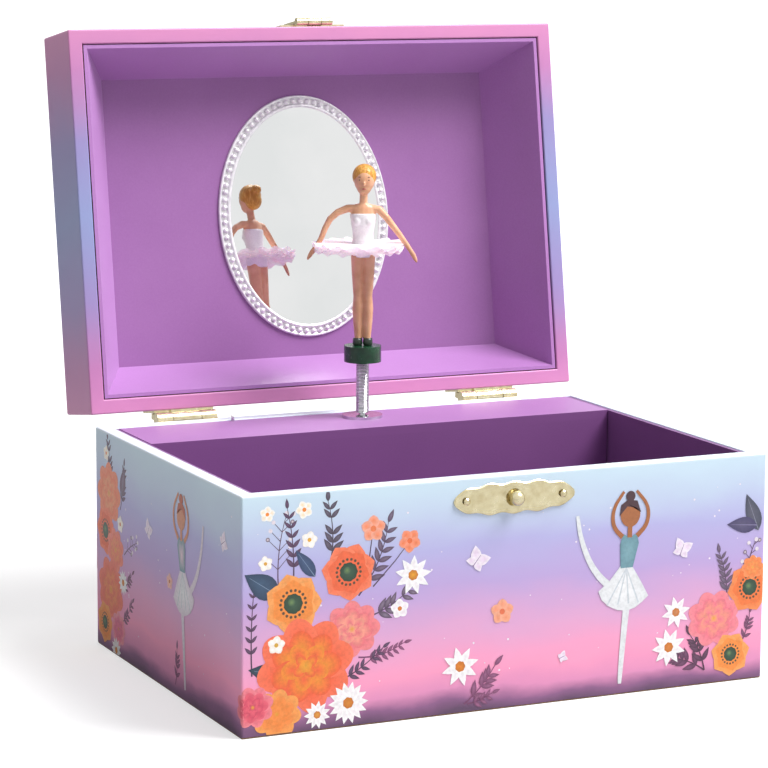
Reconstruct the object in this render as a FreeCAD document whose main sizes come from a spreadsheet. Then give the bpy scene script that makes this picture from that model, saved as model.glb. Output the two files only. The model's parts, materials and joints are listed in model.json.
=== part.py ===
import FreeCAD, Part
import math
import os
import re
from types import SimpleNamespace

from FreeCAD import Placement, Rotation, Vector

# A musical ballerina jewellery box, standing with its lid open.
# Frame: +X to the box's right, +Y to its back, +Z up; origin at the middle of the underside.
# The lid and all that is on it is drawn shut, then turned back about the hinge line.

doc = FreeCAD.newDocument("BallerinaBox")

DIMENSIONS = [
    # case: boards, paper wrap and lining cards
    ("box_width", 152.0), ("box_depth", 108.0), ("case_height", 62.0),
    ("board", 3.6), ("base_board", 3.0), ("paper", 0.25), ("wrap_lift", 0.4),
    ("lining", 1.0), ("lining_gap", 0.35), ("lining_drop", 0.4), ("slip", 0.3),
    # platform over the music bay
    ("bay_depth", 26.15), ("platform_board", 2.4), ("platform_drop", 0.3), ("divider", 2.0),
    ("rest_width", 3.0), ("rest_height", 3.0),
    # lid
    ("lid_height", 21.5), ("lid_board", 2.25), ("lid_seam", 0.3), ("lid_open_angle", 99.0),
    ("bevel_side", 10.2), ("bevel_end", 7.5),
    # mirror in the lid
    ("mirror_width", 54.4), ("mirror_end_margin", 5.6), ("mirror_rim", 3.6),
    ("mirror_rim_height", 1.6), ("mirror_glass", 1.0),
    # hinges
    ("hinge_inset", 28.0), ("hinge_length", 18.0),
    ("knuckle_radius", 1.9), ("hinge_pin_radius", 0.75), ("leaf_thick", 0.7),
    ("leaf_reach", 9.0), ("leaf_start", 1.15), ("middle_knuckle", 8.4), ("knuckle_play", 0.2),
    ("stop_reach", 3.6), ("stop_height", 1.3),
    # clasp on the case front and hasp on the lid front
    ("clasp_width", 35.0), ("clasp_height", 8.8), ("clasp_thick", 0.8), ("clasp_drop", 6.1),
    ("clasp_lobes", 14), ("clasp_lobe_depth", 0.35), ("clasp_nail_spacing", 28.0),
    ("stud_radius", 2.0), ("stud_neck_radius", 1.3), ("stud_neck", 0.8),
    ("hasp_width", 20.0), ("hasp_plate_height", 7.0), ("hasp_offset", 1.6), ("hasp_rise", 2.2),
    ("hasp_knuckle", 1.1), ("hasp_knuckle_length", 3.4), ("hasp_pin_radius", 0.45),
    ("flap_thick", 0.7), ("flap_tip_radius", 3.9), ("flap_width", 11.0),
    ("flap_tongue", 4.0), ("flap_hole_radius", 2.4), ("hasp_nail_spacing", 15.0),
    # nails and screws
    ("nail_radius", 0.5), ("nail_head_radius", 0.95), ("nail_head", 0.45), ("nail_length", 3.0),
    ("hinge_nail_spacing", 10.0), ("screw_radius", 0.8), ("screw_head_radius", 1.7),
    ("screw_head", 1.0),
    # dancer on her spring
    ("dancer_back", 13.0), ("bush_radius", 5.8), ("bush_flange", 0.8), ("bush_neck_radius", 2.4),
    ("spring_radius", 1.9), ("spring_bore", 1.15), ("spring_length", 15.0),
    ("stand_radius", 5.3), ("stand_height", 4.6), ("fold_height", 8.5),
    ("leg_height", 26.0), ("waist_height", 28.5), ("shoulder_height", 39.6), ("head_height", 46.8),
    ("head_radius", 3.9), ("hand_spread", 14.9), ("hand_height", 25.6), ("tutu_radius", 13.4),
    ("tutu_height", 28.2), ("tutu_thick", 3.4), ("dancer_turn", 25.0),
    # musical movement
    ("arbor_height", 32.0), ("arbor_radius", 1.5), ("shaft_radius", 0.9), ("running_play", 0.06),
    ("bedplate", 1.5), ("bedplate_left", 2.0), ("bedplate_right", 18.0),
    ("bedplate_low", 12.0), ("bedplate_high", 52.0), ("bed_screw_inset", 4.0),
    ("crown_module", 0.75), ("crown_teeth", 24), ("pinion_teeth", 8), ("crown_face", 2.2),
    ("crown_plate", 1.4), ("train_module", 0.5), ("train_teeth", 24), ("gear_face", 1.2),
    ("drum_radius", 6.0), ("drum_length", 15.0), ("drum_pin", 0.55), ("bracket", 1.0),
    ("gear_gap", 0.6), ("barrel_radius", 12.0), ("barrel_length", 7.0), ("barrel_wall", 0.8),
    ("pillar_circle", 14.5), ("pillar_radius", 1.4), ("mainspring_strip", 0.3),
    ("comb_height", 15.0), ("comb_tooth_length", 9.0), ("comb_thick", 1.0), ("comb_teeth", 18),
    ("fly_reach", 4.0), ("fly_width", 4.0), ("fly_thick", 0.5),
    ("key_span", 26.0), ("key_hub_radius", 3.0), ("key_thick", 2.0), ("key_gap", 2.0),
    ("key_hub", 6.0), ("eyelet_radius", 4.0), ("eyelet_neck_radius", 2.4), ("eyelet_flange", 0.6),
    # stop wire that the lid pushes down
    ("wire_radius", 0.5), ("wire_rise", 1.2), ("wire_inset", 0.85), ("wire_pad_radius", 1.3),
    ("wire_pad", 1.2), ("wire_travel", 1.4),
]

sheet = doc.addObject("Spreadsheet::Sheet", "Sizes")
for row, (alias, value) in enumerate(DIMENSIONS, start=1):
    sheet.set(f"A{row}", alias)
    sheet.set(f"B{row}", str(value))
    sheet.setAlias(f"B{row}", alias)
doc.recompute()
size = SimpleNamespace(**{alias: float(sheet.get(alias)) for alias, value in DIMENSIONS})
ALIASES = [alias for alias, value in DIMENSIONS]

# Places that several pieces share, each a formula of the sheet's cells.
SHARED = {
    "outer_x": "(box_width / 2 - paper)",
    "outer_y": "(box_depth / 2 - paper)",
    "board_x": "(box_width / 2 - paper - board)",
    "board_y": "(box_depth / 2 - paper - board)",
    "card_x": "(box_width / 2 - paper - board - lining_gap)",
    "card_y": "(box_depth / 2 - paper - board - lining_gap)",
    "lined_x": "(box_width / 2 - paper - board - lining_gap - lining)",
    "lined_y": "(box_depth / 2 - paper - board - lining_gap - lining)",
    "bay_front": "(box_depth / 2 - paper - board - bay_depth)",
    "floor_top": "(base_board + lining)",
    "platform_top": "(case_height - platform_drop)",
    "platform_under": "(case_height - platform_drop - platform_board)",
    "lid_rim": "(case_height + lid_seam)",
    "lid_wall_top": "(case_height + lid_seam + lid_height - paper - lid_board)",
    "lid_inside": "(lid_height - paper - lid_board - lining)",
    "hinge_offset": "(leaf_thick + knuckle_radius)",
    "hinge_y": "(box_depth / 2 + leaf_thick + knuckle_radius)",
    "hinge_z": "(case_height + lid_seam / 2)",
    "leaf_face": "(box_depth / 2 + leaf_thick)",
    "dancer_y": "(box_depth / 2 - dancer_back)",
    "bush_top": "(case_height - platform_drop + bush_flange)",
    "spring_base": "(case_height - platform_drop + bush_flange + slip)",
    "stand_base": "(case_height - platform_drop + bush_flange + slip + spring_length)",
    "foot_level": "(case_height - platform_drop + bush_flange + slip + spring_length + stand_height)",
    "hasp_z": "(case_height + lid_seam + hasp_rise)",
    "hasp_y": "(-box_depth / 2 - hasp_offset)",
    "clasp_z": "(case_height - clasp_drop)",
    "clasp_face": "(-box_depth / 2 - clasp_thick)",
    "bed_y": "(box_depth / 2 - paper - board - bedplate)",
    "crown_radius": "(crown_module * crown_teeth / 2)",
    "crown_pinion_radius": "(crown_module * pinion_teeth / 2)",
    "train_radius": "(train_module * train_teeth / 2)",
    "train_pinion_radius": "(train_module * pinion_teeth / 2)",
    "crown_y": "(box_depth / 2 - dancer_back + crown_module * pinion_teeth / 2)",
}

# Distances to the left of the arbor: the drum comes first and the governor train beyond it.
TRAIN_LAYOUT = [
    ("pinion_start", "crown_module * crown_teeth / 2 - crown_face / 2"),
    ("inner_bracket", "pinion_start + crown_face + gear_gap"),
    ("drum_start", "inner_bracket + bracket + gear_gap"),
    ("outer_bracket", "drum_start + drum_length + gear_gap"),
    ("first_mesh", "outer_bracket + bracket + gear_gap"),
    ("second_mesh", "first_mesh + gear_face + gear_gap"),
    ("governor_side", "second_mesh + gear_face + gear_gap"),
    ("fly_start", "governor_side + bracket + gear_gap"),
    ("fly_middle", "fly_start + fly_width / 2"),
    ("bed_left", "fly_start + fly_width + bedplate_left"),
]
for place_name, formula in TRAIN_LAYOUT:
    spelled = re.sub(r"[a-z]\w+", lambda word: SHARED.get(word.group(0), word.group(0)), formula)
    SHARED[place_name] = f"({spelled})"


def written_out(text):
    """A formula with the shared places spelled out and the sheet named before each cell."""
    text = re.sub(r"[a-z]\w+", lambda word: SHARED.get(word.group(0), word.group(0)), str(text))
    return re.sub(
        r"[a-z]\w+",
        lambda word: "Sizes." + word.group(0) if word.group(0) in ALIASES else word.group(0),
        text,
    )


def number(text):
    """The value of a formula with the sheet's present cells."""
    return float(sheet.evalExpression(written_out(text)))


def bind(piece, **formulas):
    """Ties properties to formulas; a double underscore in a name stands for a dot."""
    for name, text in formulas.items():
        piece.setExpression(name.replace("__", "."), written_out(text))


def place(piece, x, y, z):
    bind(piece, Placement__Base__x=x, Placement__Base__y=y, Placement__Base__z=z)
    return piece


def box(name, x, y, z, length, width, height):
    """A block from its low corner."""
    block = doc.addObject("Part::Box", name)
    bind(block, Length=length, Width=width, Height=height)
    return place(block, x, y, z)


ALONG = {"x": Rotation(Vector(0, 1, 0), 90), "y": Rotation(Vector(1, 0, 0), -90), "z": Rotation()}


def cylinder(name, axis, x, y, z, radius, height):
    """A round bar from its low end, along x, y or z."""
    bar = doc.addObject("Part::Cylinder", name)
    bar.Placement = Placement(Vector(), ALONG[axis])
    bind(bar, Radius=radius, Height=height)
    return place(bar, x, y, z)


def cone(name, axis, x, y, z, radius1, radius2, height):
    taper = doc.addObject("Part::Cone", name)
    taper.Placement = Placement(Vector(), ALONG[axis])
    bind(taper, Radius1=radius1, Radius2=radius2, Height=height)
    return place(taper, x, y, z)


def fuse(name, pieces):
    joined = doc.addObject("Part::MultiFuse", name)
    joined.Shapes = pieces
    return joined


def group(name, pieces):
    """Like pieces that stay separate solids."""
    together = doc.addObject("Part::Compound", name)
    together.Links = pieces
    return together


def cut(name, base, tools):
    """The base less one tool, or less several."""
    result = doc.addObject("Part::Cut", name)
    result.Base = base
    result.Tool = tools[0] if len(tools) == 1 else group(name + "_tools", tools)
    return result


def shape(name, solid, at=None):
    """A piece whose outline no primitive gives, from a shape made with Part."""
    feature = doc.addObject("Part::Feature", name)
    feature.Shape = solid
    if at is not None:
        feature.Placement = at.multiply(solid.Placement)
    return feature


NODES = []


def keep(piece, name):
    """Makes an object a sub-part, which is exported under its label."""
    piece.Label = name
    NODES.append(piece)
    return piece


HINGE = Vector(0, number("hinge_y"), number("hinge_z"))
LID_OPEN = Placement(Vector(), Rotation(Vector(1, 0, 0), -size.lid_open_angle), HINGE)


def keep_on_lid(piece, name):
    """Turns a piece that is drawn shut back to the open lid, and makes it a sub-part."""
    opened = doc.addObject("Part::Compound", name + "_open")
    opened.Links = [piece]
    opened.Placement = LID_OPEN
    return keep(opened, name)


def nails(name, spots, side, head_y):
    """Round-headed nails driven along Y; side +1 has its heads to the back, -1 to the front."""
    made = []
    for number_of, (x, z) in enumerate(spots):
        label = f"{name}_{number_of}"
        shank_y = f"{head_y} - nail_length" if side > 0 else head_y
        shank = cylinder(label + "_shank", "y", x, shank_y, z, "nail_radius", "nail_length")
        if side > 0:
            low, wide, narrow = head_y, "nail_head_radius", "nail_radius"
        else:
            low, wide, narrow = f"{head_y} - nail_head", "nail_radius", "nail_head_radius"
        head = cone(label + "_head", "y", x, low, z, wide, narrow, "nail_head")
        made.append(fuse(label, [shank, head]))
    return group(name, made)


# ---------------------------------------------------------------- hinges, hasp and clasp
def hinge_x(side):
    return f"{side} * (box_width / 2 - hinge_inset)"


def knuckles(name, side, outer, radius, grow="0"):
    """The two outer knuckles of a hinge, or its middle one."""
    centre = hinge_x(side)
    half = "middle_knuckle / 2"
    if not outer:
        spans = [(f"{centre} - {half} - {grow}", f"middle_knuckle + 2 * {grow}")]
    else:
        length = "(hinge_length / 2 - middle_knuckle / 2 - knuckle_play)"
        spans = [
            (f"{centre} - hinge_length / 2", length),
            (f"{centre} + {half} + knuckle_play", length),
        ]
    return [
        cylinder(f"{name}_knuckle_{i}", "x", start, "hinge_y", "hinge_z", radius, length)
        for i, (start, length) in enumerate(spans)
    ], spans


def hinge_leaf(name, side, on_lid, nail_group):
    """A sheet leaf on the back board with its curled knuckles; the case leaf carries the stops."""
    barrels, spans = knuckles(name, side, not on_lid, "knuckle_radius")
    low = "hinge_z + leaf_start" if on_lid else "hinge_z - leaf_start - leaf_reach"
    sheet_metal = box(
        name + "_sheet", f"{hinge_x(side)} - hinge_length / 2", "box_depth / 2", low,
        "hinge_length", "leaf_thick", "leaf_reach",
    )
    web_low = "hinge_z + lid_seam / 2" if on_lid else "hinge_z - leaf_start - leaf_thick"
    web_height = "leaf_start + leaf_thick - lid_seam / 2"
    webs = [
        box(f"{name}_web_{i}", start, "box_depth / 2", web_low, length, "hinge_offset", web_height)
        for i, (start, length) in enumerate(spans)
    ]
    stops = []
    if not on_lid:
        stops = [
            box(f"{name}_stop_{i}", start, "hinge_y + knuckle_radius * 0.7", "hinge_z - leaf_thick / 2",
                length, "stop_reach - knuckle_radius * 0.7", "leaf_thick / 2 + stop_height")
            for i, (start, length) in enumerate(spans)
        ]
    solid = fuse(name + "_blank", barrels + [sheet_metal] + webs + stops)
    play = "running_play" if on_lid else "0"
    bore = cylinder(
        name + "_bore", "x", f"{hinge_x(side)} - hinge_length", "hinge_y", "hinge_z",
        f"hinge_pin_radius + {play}", "hinge_length * 2",
    )
    return cut(name + "_leaf", solid, [bore, nail_group])


def hinge_nail_spots(on_lid):
    level = "hinge_z + leaf_start + leaf_reach / 2" if on_lid else "hinge_z - leaf_start - leaf_reach / 2"
    return [
        (f"{hinge_x(side)} + {end} * hinge_nail_spacing / 2", level)
        for side in (-1, 1) for end in (-1, 1)
    ]


case_nails = nails("hinge_nails_case_set", hinge_nail_spots(False), 1, "leaf_face")
lid_nails = nails("hinge_nails_lid_set", hinge_nail_spots(True), 1, "leaf_face")
case_leaves = []
lid_leaves = []
pins = []
for side, word in ((-1, "left"), (1, "right")):
    case_leaves.append(hinge_leaf(f"case_{word}", side, False, case_nails))
    lid_leaves.append(hinge_leaf(f"lid_{word}", side, True, lid_nails))
    pins.append(cylinder(
        f"pin_{word}", "x", f"{hinge_x(side)} - hinge_length / 2", "hinge_y", "hinge_z",
        "hinge_pin_radius", "hinge_length",
    ))
keep(case_nails, "hinge_nails_case")
keep_on_lid(lid_nails, "hinge_nails_lid")
keep(group("case_leaf_pair", case_leaves), "hinge_case_leaves")
keep_on_lid(group("lid_leaf_pair", lid_leaves), "hinge_lid_leaves")
keep(group("pin_pair", pins), "hinge_pins")


def clasp_plate_blank():
    """A thin brass plate, a long oval with a scalloped edge."""
    half_length = size.clasp_width / 2
    half_height = size.clasp_height / 2
    points = []
    steps = int(size.clasp_lobes) * 6
    for step in range(steps):
        turn = 2 * math.pi * step / steps
        inward = size.clasp_lobe_depth * (1 - math.cos(size.clasp_lobes * turn)) / 2
        points.append(Vector(
            (half_length - inward) * math.copysign(abs(math.cos(turn)) ** 0.8, math.cos(turn)),
            0,
            (half_height - inward) * math.copysign(abs(math.sin(turn)) ** 0.8, math.sin(turn)),
        ))
    edge = Part.BSplineCurve()
    edge.interpolate(points, PeriodicFlag=True)
    plate = Part.Face(Part.Wire([edge.toShape()])).extrude(Vector(0, -size.clasp_thick, 0))
    return shape("clasp_plate_blank", plate, Placement(
        Vector(0, -size.box_depth / 2, number("clasp_z")), Rotation(),
    ))


clasp_nails = nails(
    "clasp_nails_set",
    [(f"{end} * clasp_nail_spacing / 2", "clasp_z") for end in (-1, 1)], -1, "clasp_face",
)
stud_neck = cylinder(
    "stud_neck_bar", "y", "0", "clasp_face - stud_neck", "clasp_z",
    "stud_neck_radius", "stud_neck + clasp_thick + paper + board / 2",
)
stud_dome = doc.addObject("Part::Sphere", "stud_dome")
stud_dome.Angle1 = 0
stud_dome.Placement = Placement(Vector(), Rotation(Vector(1, 0, 0), 90))
bind(stud_dome, Radius="stud_radius")
place(stud_dome, "0", "clasp_face - stud_neck", "clasp_z")
clasp_stud = fuse("clasp_stud_turned", [stud_neck, stud_dome])
keep(clasp_nails, "clasp_nails")
keep(clasp_stud, "clasp_stud")
keep(cut("clasp_plate_drilled", clasp_plate_blank(), [clasp_nails, clasp_stud]), "clasp_plate")

# The hasp's plate is nailed to the lid front, and its flap is drawn folded back over it.
hasp_nails = nails(
    "hasp_nails_set",
    [(f"{end} * hasp_nail_spacing / 2", "hasp_z + hasp_knuckle + hasp_plate_height * 0.6")
     for end in (-1, 1)], -1, "clasp_face",
)
hasp_spans = [f"{start}" for start in (
    "-flap_tongue / 2 - knuckle_play - hasp_knuckle_length", "flap_tongue / 2 + knuckle_play",
)]
hasp_blank = fuse("hasp_plate_blank", [
    box("hasp_sheet", "-hasp_width / 2", "clasp_face", "hasp_z + hasp_knuckle", "hasp_width",
        "clasp_thick", "hasp_plate_height"),
] + [
    box(f"hasp_web_{i}", start, "clasp_face", "hasp_z", "hasp_knuckle_length",
        "clasp_thick", "hasp_knuckle + clasp_thick")
    for i, start in enumerate(hasp_spans)
] + [
    cylinder(f"hasp_knuckle_{i}", "x", start, "hasp_y", "hasp_z", "hasp_knuckle", "hasp_knuckle_length")
    for i, start in enumerate(hasp_spans)
])
hasp_bore = cylinder("hasp_bore", "x", "-hasp_width", "hasp_y", "hasp_z", "hasp_pin_radius", "hasp_width * 2")
keep_on_lid(hasp_nails, "hasp_nails")
keep_on_lid(cut("hasp_plate_drilled", hasp_blank, [hasp_bore, hasp_nails]), "hasp_plate")
hasp_pin = cylinder(
    "hasp_pin_bar", "x", hasp_spans[0], "hasp_y", "hasp_z", "hasp_pin_radius",
    "flap_tongue + 2 * knuckle_play + 2 * hasp_knuckle_length",
)
keep_on_lid(hasp_pin, "hasp_pin")

flap_y = "hasp_y - flap_thick / 2"
flap_shoulder = "hasp_z + hasp_knuckle + knuckle_play"
flap_eye = "hasp_z + hasp_z - clasp_z"
flap_blank = fuse("hasp_flap_blank", [
    cylinder("flap_knuckle", "x", "-flap_tongue / 2", "hasp_y", "hasp_z", "hasp_knuckle", "flap_tongue"),
    box("flap_tongue_sheet", "-flap_tongue / 2", flap_y, "hasp_z", "flap_tongue", "flap_thick",
        "flap_tip_radius"),
    box("flap_sheet", "-flap_width / 2", flap_y, flap_shoulder, "flap_width", "flap_thick",
        f"{flap_eye} - {flap_shoulder} - flap_tip_radius / 2"),
    box("flap_neck", "-flap_tip_radius", flap_y, flap_shoulder, "flap_tip_radius * 2", "flap_thick",
        f"{flap_eye} - {flap_shoulder}"),
    cylinder("flap_tip", "y", "0", flap_y, flap_eye, "flap_tip_radius", "flap_thick"),
])
flap_hole = cylinder("flap_hole", "y", "0", f"{flap_y} - flap_thick", flap_eye, "flap_hole_radius",
                     "flap_thick * 3")
flap_bore = cylinder("flap_bore", "x", "-hasp_width", "hasp_y", "hasp_z",
                     "hasp_pin_radius + running_play", "hasp_width * 2")
keep_on_lid(cut("hasp_flap_drilled", flap_blank, [flap_hole, flap_bore]), "hasp_flap")


# ---------------------------------------------------------------- case
bed_screw_spots = [
    ("bed_screw_inset - bed_left", "bedplate_high - bed_screw_inset"),
    ("bedplate_right - bed_screw_inset", "bedplate_low + bed_screw_inset"),
]
screw_pieces = []
for i, (x, z) in enumerate(bed_screw_spots):
    screw_pieces.append(fuse(f"bed_screw_{i}", [
        cylinder(f"bed_screw_shank_{i}", "y", x, "bed_y", z, "screw_radius", "bedplate + board / 2"),
        cylinder(f"bed_screw_head_{i}", "y", x, "bed_y - screw_head", z, "screw_head_radius",
                 "screw_head"),
    ]))
bed_screws = group("bed_screw_pair", screw_pieces)
eyelet_hole = cylinder("eyelet_hole", "y", "0", "bed_y", "arbor_height", "eyelet_neck_radius",
                       "board + paper + bedplate + 1")

keep(box("base", "-outer_x", "-outer_y", "0", "2 * outer_x", "2 * outer_y", "base_board"), "base_board")


def wall(name, x, y, length, width):
    return box(name, x, y, "base_board", length, width, "case_height - paper - base_board")


front = wall("front_blank", "-outer_x", "-outer_y", "2 * outer_x", "board")
back = wall("back_blank", "-outer_x", "board_y", "2 * outer_x", "board")
keep(cut("front_drilled", front, [clasp_nails, clasp_stud]), "front_board")
keep(cut("back_drilled", back, [case_nails, bed_screws, eyelet_hole]), "back_board")
keep(wall("left", "-outer_x", "-board_y", "board", "2 * board_y"), "left_board")
keep(wall("right", "board_x", "-board_y", "board", "2 * board_y"), "right_board")

wrap_out = box("wrap_out", "-box_width / 2", "-box_depth / 2", "wrap_lift", "box_width", "box_depth",
               "case_height - wrap_lift")
wrap_in = box("wrap_in", "-outer_x", "-outer_y", "0", "2 * outer_x", "2 * outer_y", "case_height - paper")
wrap_mouth = box("wrap_mouth", "-board_x", "-board_y", "0", "2 * board_x", "2 * board_y",
                 "case_height + 1")
keep(cut("case_wrap_folded", wrap_out,
         [wrap_in, wrap_mouth, case_nails, clasp_nails, clasp_stud, eyelet_hole]), "case_wrap")

card_height = "case_height - lining_drop - base_board"
card_outside = box("card_outside", "-card_x", "-card_y", "base_board", "2 * card_x",
                   "card_y + board_y - slip", card_height)
card_inside = box("card_inside", "-lined_x", "-lined_y", "0", "2 * lined_x", "2 * box_depth",
                  "case_height")
keep(cut("card_folded", card_outside, [card_inside]), "case_lining")
keep(box("card_floor", "-lined_x + slip / 2", "-lined_y + slip / 2", "base_board",
         "2 * lined_x - slip", "lined_y + bay_front - slip", "lining"), "compartment_floor")
keep(box("bay_divider", "-lined_x + slip", "bay_front", "base_board", "2 * (lined_x - slip)",
         "divider", "platform_under - base_board"), "bay_divider")

WIRE_X = "-fly_middle"
WIRE_Y = "board_y - slip - wire_inset"
platform_blank = box("platform_blank", "-lined_x + slip", "bay_front", "platform_under",
                     "2 * (lined_x - slip)", "bay_depth - slip", "platform_board")
bush_hole = cylinder("bush_hole", "z", "0", "dancer_y", "platform_under - 1", "bush_neck_radius",
                     "platform_board + 2")
wire_hole = cylinder("wire_hole", "z", WIRE_X, WIRE_Y, "platform_under - rest_height - 1",
                     "wire_radius + running_play", "rest_height + platform_board + 2")
keep(cut("platform_drilled", platform_blank, [bush_hole, wire_hole]), "platform")
rest_batten = box("rest_batten", "-lined_x + slip", "board_y - rest_width",
                  "platform_under - rest_height", "2 * (lined_x - slip)", "rest_width", "rest_height")
keep(cut("rest_drilled", rest_batten, [wire_hole]), "platform_rest")


# ---------------------------------------------------------------- lid
def lid_wall(name, x, y, length, width):
    return box(name, x, y, "lid_rim + paper", length, width, "lid_wall_top - lid_rim - paper")


lid_front = lid_wall("lid_front_blank", "-outer_x", "-outer_y", "2 * outer_x", "board")
lid_back = lid_wall("lid_back_blank", "-outer_x", "board_y", "2 * outer_x", "board")
keep_on_lid(cut("lid_front_drilled", lid_front, [hasp_nails]), "lid_front_board")
keep_on_lid(cut("lid_back_drilled", lid_back, [lid_nails]), "lid_back_board")
keep_on_lid(lid_wall("lid_left", "-outer_x", "-board_y", "board", "2 * board_y"), "lid_left_board")
keep_on_lid(lid_wall("lid_right", "board_x", "-board_y", "board", "2 * board_y"), "lid_right_board")
keep_on_lid(box("lid_top", "-outer_x", "-outer_y", "lid_wall_top", "2 * outer_x", "2 * outer_y",
                "lid_board"), "lid_top_board")

lid_wrap_out = box("lid_wrap_out", "-box_width / 2", "-box_depth / 2", "lid_rim", "box_width",
                   "box_depth", "lid_height")
lid_wrap_in = box("lid_wrap_in", "-outer_x", "-outer_y", "lid_rim + paper", "2 * outer_x",
                  "2 * outer_y", "lid_height - 2 * paper")
lid_wrap_mouth = box("lid_wrap_mouth", "-board_x", "-board_y", "lid_rim - 1", "2 * board_x",
                     "2 * board_y", "paper + 2")
keep_on_lid(cut("lid_wrap_folded", lid_wrap_out,
                [lid_wrap_in, lid_wrap_mouth, hasp_nails, lid_nails]), "lid_wrap")


def block_between(low_corners, high_corners):
    """A closed solid between two four-cornered outlines."""
    faces = [Part.Face(Part.makePolygon(low_corners + low_corners[:1])),
             Part.Face(Part.makePolygon(high_corners + high_corners[:1]))]
    for i in range(4):
        j = (i + 1) % 4
        ring = [low_corners[i], low_corners[j], high_corners[j], high_corners[i], low_corners[i]]
        faces.append(Part.Face(Part.makePolygon(ring)))
    return Part.makeSolid(Part.makeShell(faces))


def sloped_card(sign_x, sign_y):
    """A mitred lining card from the rim to the lid's inner panel, on one of the four sides."""
    rim = number("lid_rim") + size.lining_drop
    deep = number("lid_rim + lid_inside")
    wide_x, wide_y = number("lined_x"), number("lined_y")
    deep_x, deep_y = wide_x - size.bevel_side, wide_y - size.bevel_end
    share = size.lining_drop / number("lid_inside")
    rim_x, rim_y = wide_x - share * size.bevel_side, wide_y - share * size.bevel_end

    def ring(x, y, level):
        if sign_x:
            return [Vector(sign_x * x, -y, level), Vector(sign_x * x, y, level),
                    Vector(sign_x * (x + size.lining), y + size.lining, level),
                    Vector(sign_x * (x + size.lining), -y - size.lining, level)]
        return [Vector(-x, sign_y * y, level), Vector(x, sign_y * y, level),
                Vector(x + size.lining, sign_y * (y + size.lining), level),
                Vector(-x - size.lining, sign_y * (y + size.lining), level)]

    return block_between(ring(rim_x, rim_y, rim), ring(deep_x, deep_y, deep))


lid_cards = [sloped_card(sign_x, sign_y) for sign_x, sign_y in ((-1, 0), (1, 0), (0, -1), (0, 1))]
keep_on_lid(shape("lid_card_ring", lid_cards[0].fuse(lid_cards[1:])), "lid_lining_sides")
keep_on_lid(box("lid_panel", "-lined_x + bevel_side - lining", "-lined_y + bevel_end - lining",
                "lid_rim + lid_inside", "2 * (lined_x - bevel_side + lining)",
                "2 * (lined_y - bevel_end + lining)", "lining"), "lid_lining_panel")


def oval(half_width, half_length, thickness):
    ends = Vector(0, half_length, 0), Vector(-half_width, 0, 0)
    if half_width > half_length:
        ends = Vector(half_width, 0, 0), Vector(0, half_length, 0)
    curve = Part.Ellipse(*ends, Vector())
    face = Part.Face(Part.Wire([curve.toShape()]))
    return face.extrude(Vector(0, 0, thickness))


mirror_half = (size.mirror_width / 2, number("lined_y - bevel_end") - size.mirror_end_margin)
glass_half = (mirror_half[0] - size.mirror_rim, mirror_half[1] - size.mirror_rim)
mirror_level = number("lid_rim + lid_inside")
mirror_ring = oval(mirror_half[0], mirror_half[1], size.mirror_rim_height).cut(
    oval(glass_half[0], glass_half[1], size.mirror_rim_height)
)
keep_on_lid(shape("mirror_ring", mirror_ring, Placement(
    Vector(0, 0, mirror_level - size.mirror_rim_height), Rotation())), "mirror_frame")
keep_on_lid(shape("mirror_pane", oval(glass_half[0], glass_half[1], size.mirror_glass), Placement(
    Vector(0, 0, mirror_level - size.mirror_glass), Rotation())), "mirror_glass")


# ---------------------------------------------------------------- gears
def toothed_outline(teeth, pitch_radius, addendum, dedendum, width_share):
    """A closed outline of plain tapered teeth; the first tooth is centred on +X."""
    step = 2 * math.pi / teeth
    half = step * width_share / 2
    points = []
    for tooth in range(int(teeth)):
        middle = tooth * step
        for radius, spread in (
            (pitch_radius - dedendum, -1.35), (pitch_radius, -1.0), (pitch_radius + addendum, -0.45),
            (pitch_radius + addendum, 0.45), (pitch_radius, 1.0), (pitch_radius - dedendum, 1.35),
        ):
            angle = middle + spread * half
            points.append(Vector(radius * math.cos(angle), radius * math.sin(angle), 0))
    return Part.makePolygon(points + points[:1])


def spur_gear(teeth, module, face_width, bore, turn=0.0):
    """A straight-toothed gear about +Z from z = 0, bored unless it is cut on its shaft."""
    outline = toothed_outline(teeth, module * teeth / 2, 0.8 * module, 1.15 * module, 0.36)
    gear = Part.Face(outline).extrude(Vector(0, 0, face_width))
    if bore:
        gear = gear.cut(Part.makeCylinder(bore, face_width))
    gear.rotate(Vector(), Vector(0, 0, 1), turn)
    return gear


def crown_gear(teeth, module, ring, plate, bore):
    """A contrate wheel about +Z: a disc with teeth that stand up from its face, rim outwards."""
    pitch_radius = module * teeth / 2
    rise, sink = 0.8 * module, 1.15 * module
    base = -sink - plate
    wheel = Part.makeCylinder(pitch_radius + ring / 2, plate, Vector(0, 0, base))
    half = math.pi * module * 0.36 / 2
    teeth_made = []
    for tooth in range(int(teeth)):
        profile = Part.makePolygon([
            Vector(pitch_radius - ring / 2, y, z) for y, z in (
                (-half * 1.35, -sink - plate / 2), (-half * 1.35, -sink), (-half, 0),
                (-half * 0.45, rise), (half * 0.45, rise), (half, 0), (half * 1.35, -sink),
                (half * 1.35, -sink - plate / 2), (-half * 1.35, -sink - plate / 2),
            )
        ])
        tooth_solid = Part.Face(profile).extrude(Vector(ring * 0.95, 0, 0))
        tooth_solid.rotate(Vector(), Vector(0, 0, 1), (tooth + 0.5) * 360 / teeth)
        teeth_made.append(tooth_solid)
    wheel = wheel.fuse(teeth_made).removeSplitter()
    return wheel.cut(Part.makeCylinder(bore, 3 * plate + sink, Vector(0, 0, base - plate)))


# ---------------------------------------------------------------- musical movement
BED_Y = number("bed_y")
DANCER_Y = number("dancer_y")
ARBOR_Z = size.arbor_height
TO_FRONT = Rotation(Vector(1, 0, 0), 90)
TO_LEFT = Rotation(Vector(0, 1, 0), -90)

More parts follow.
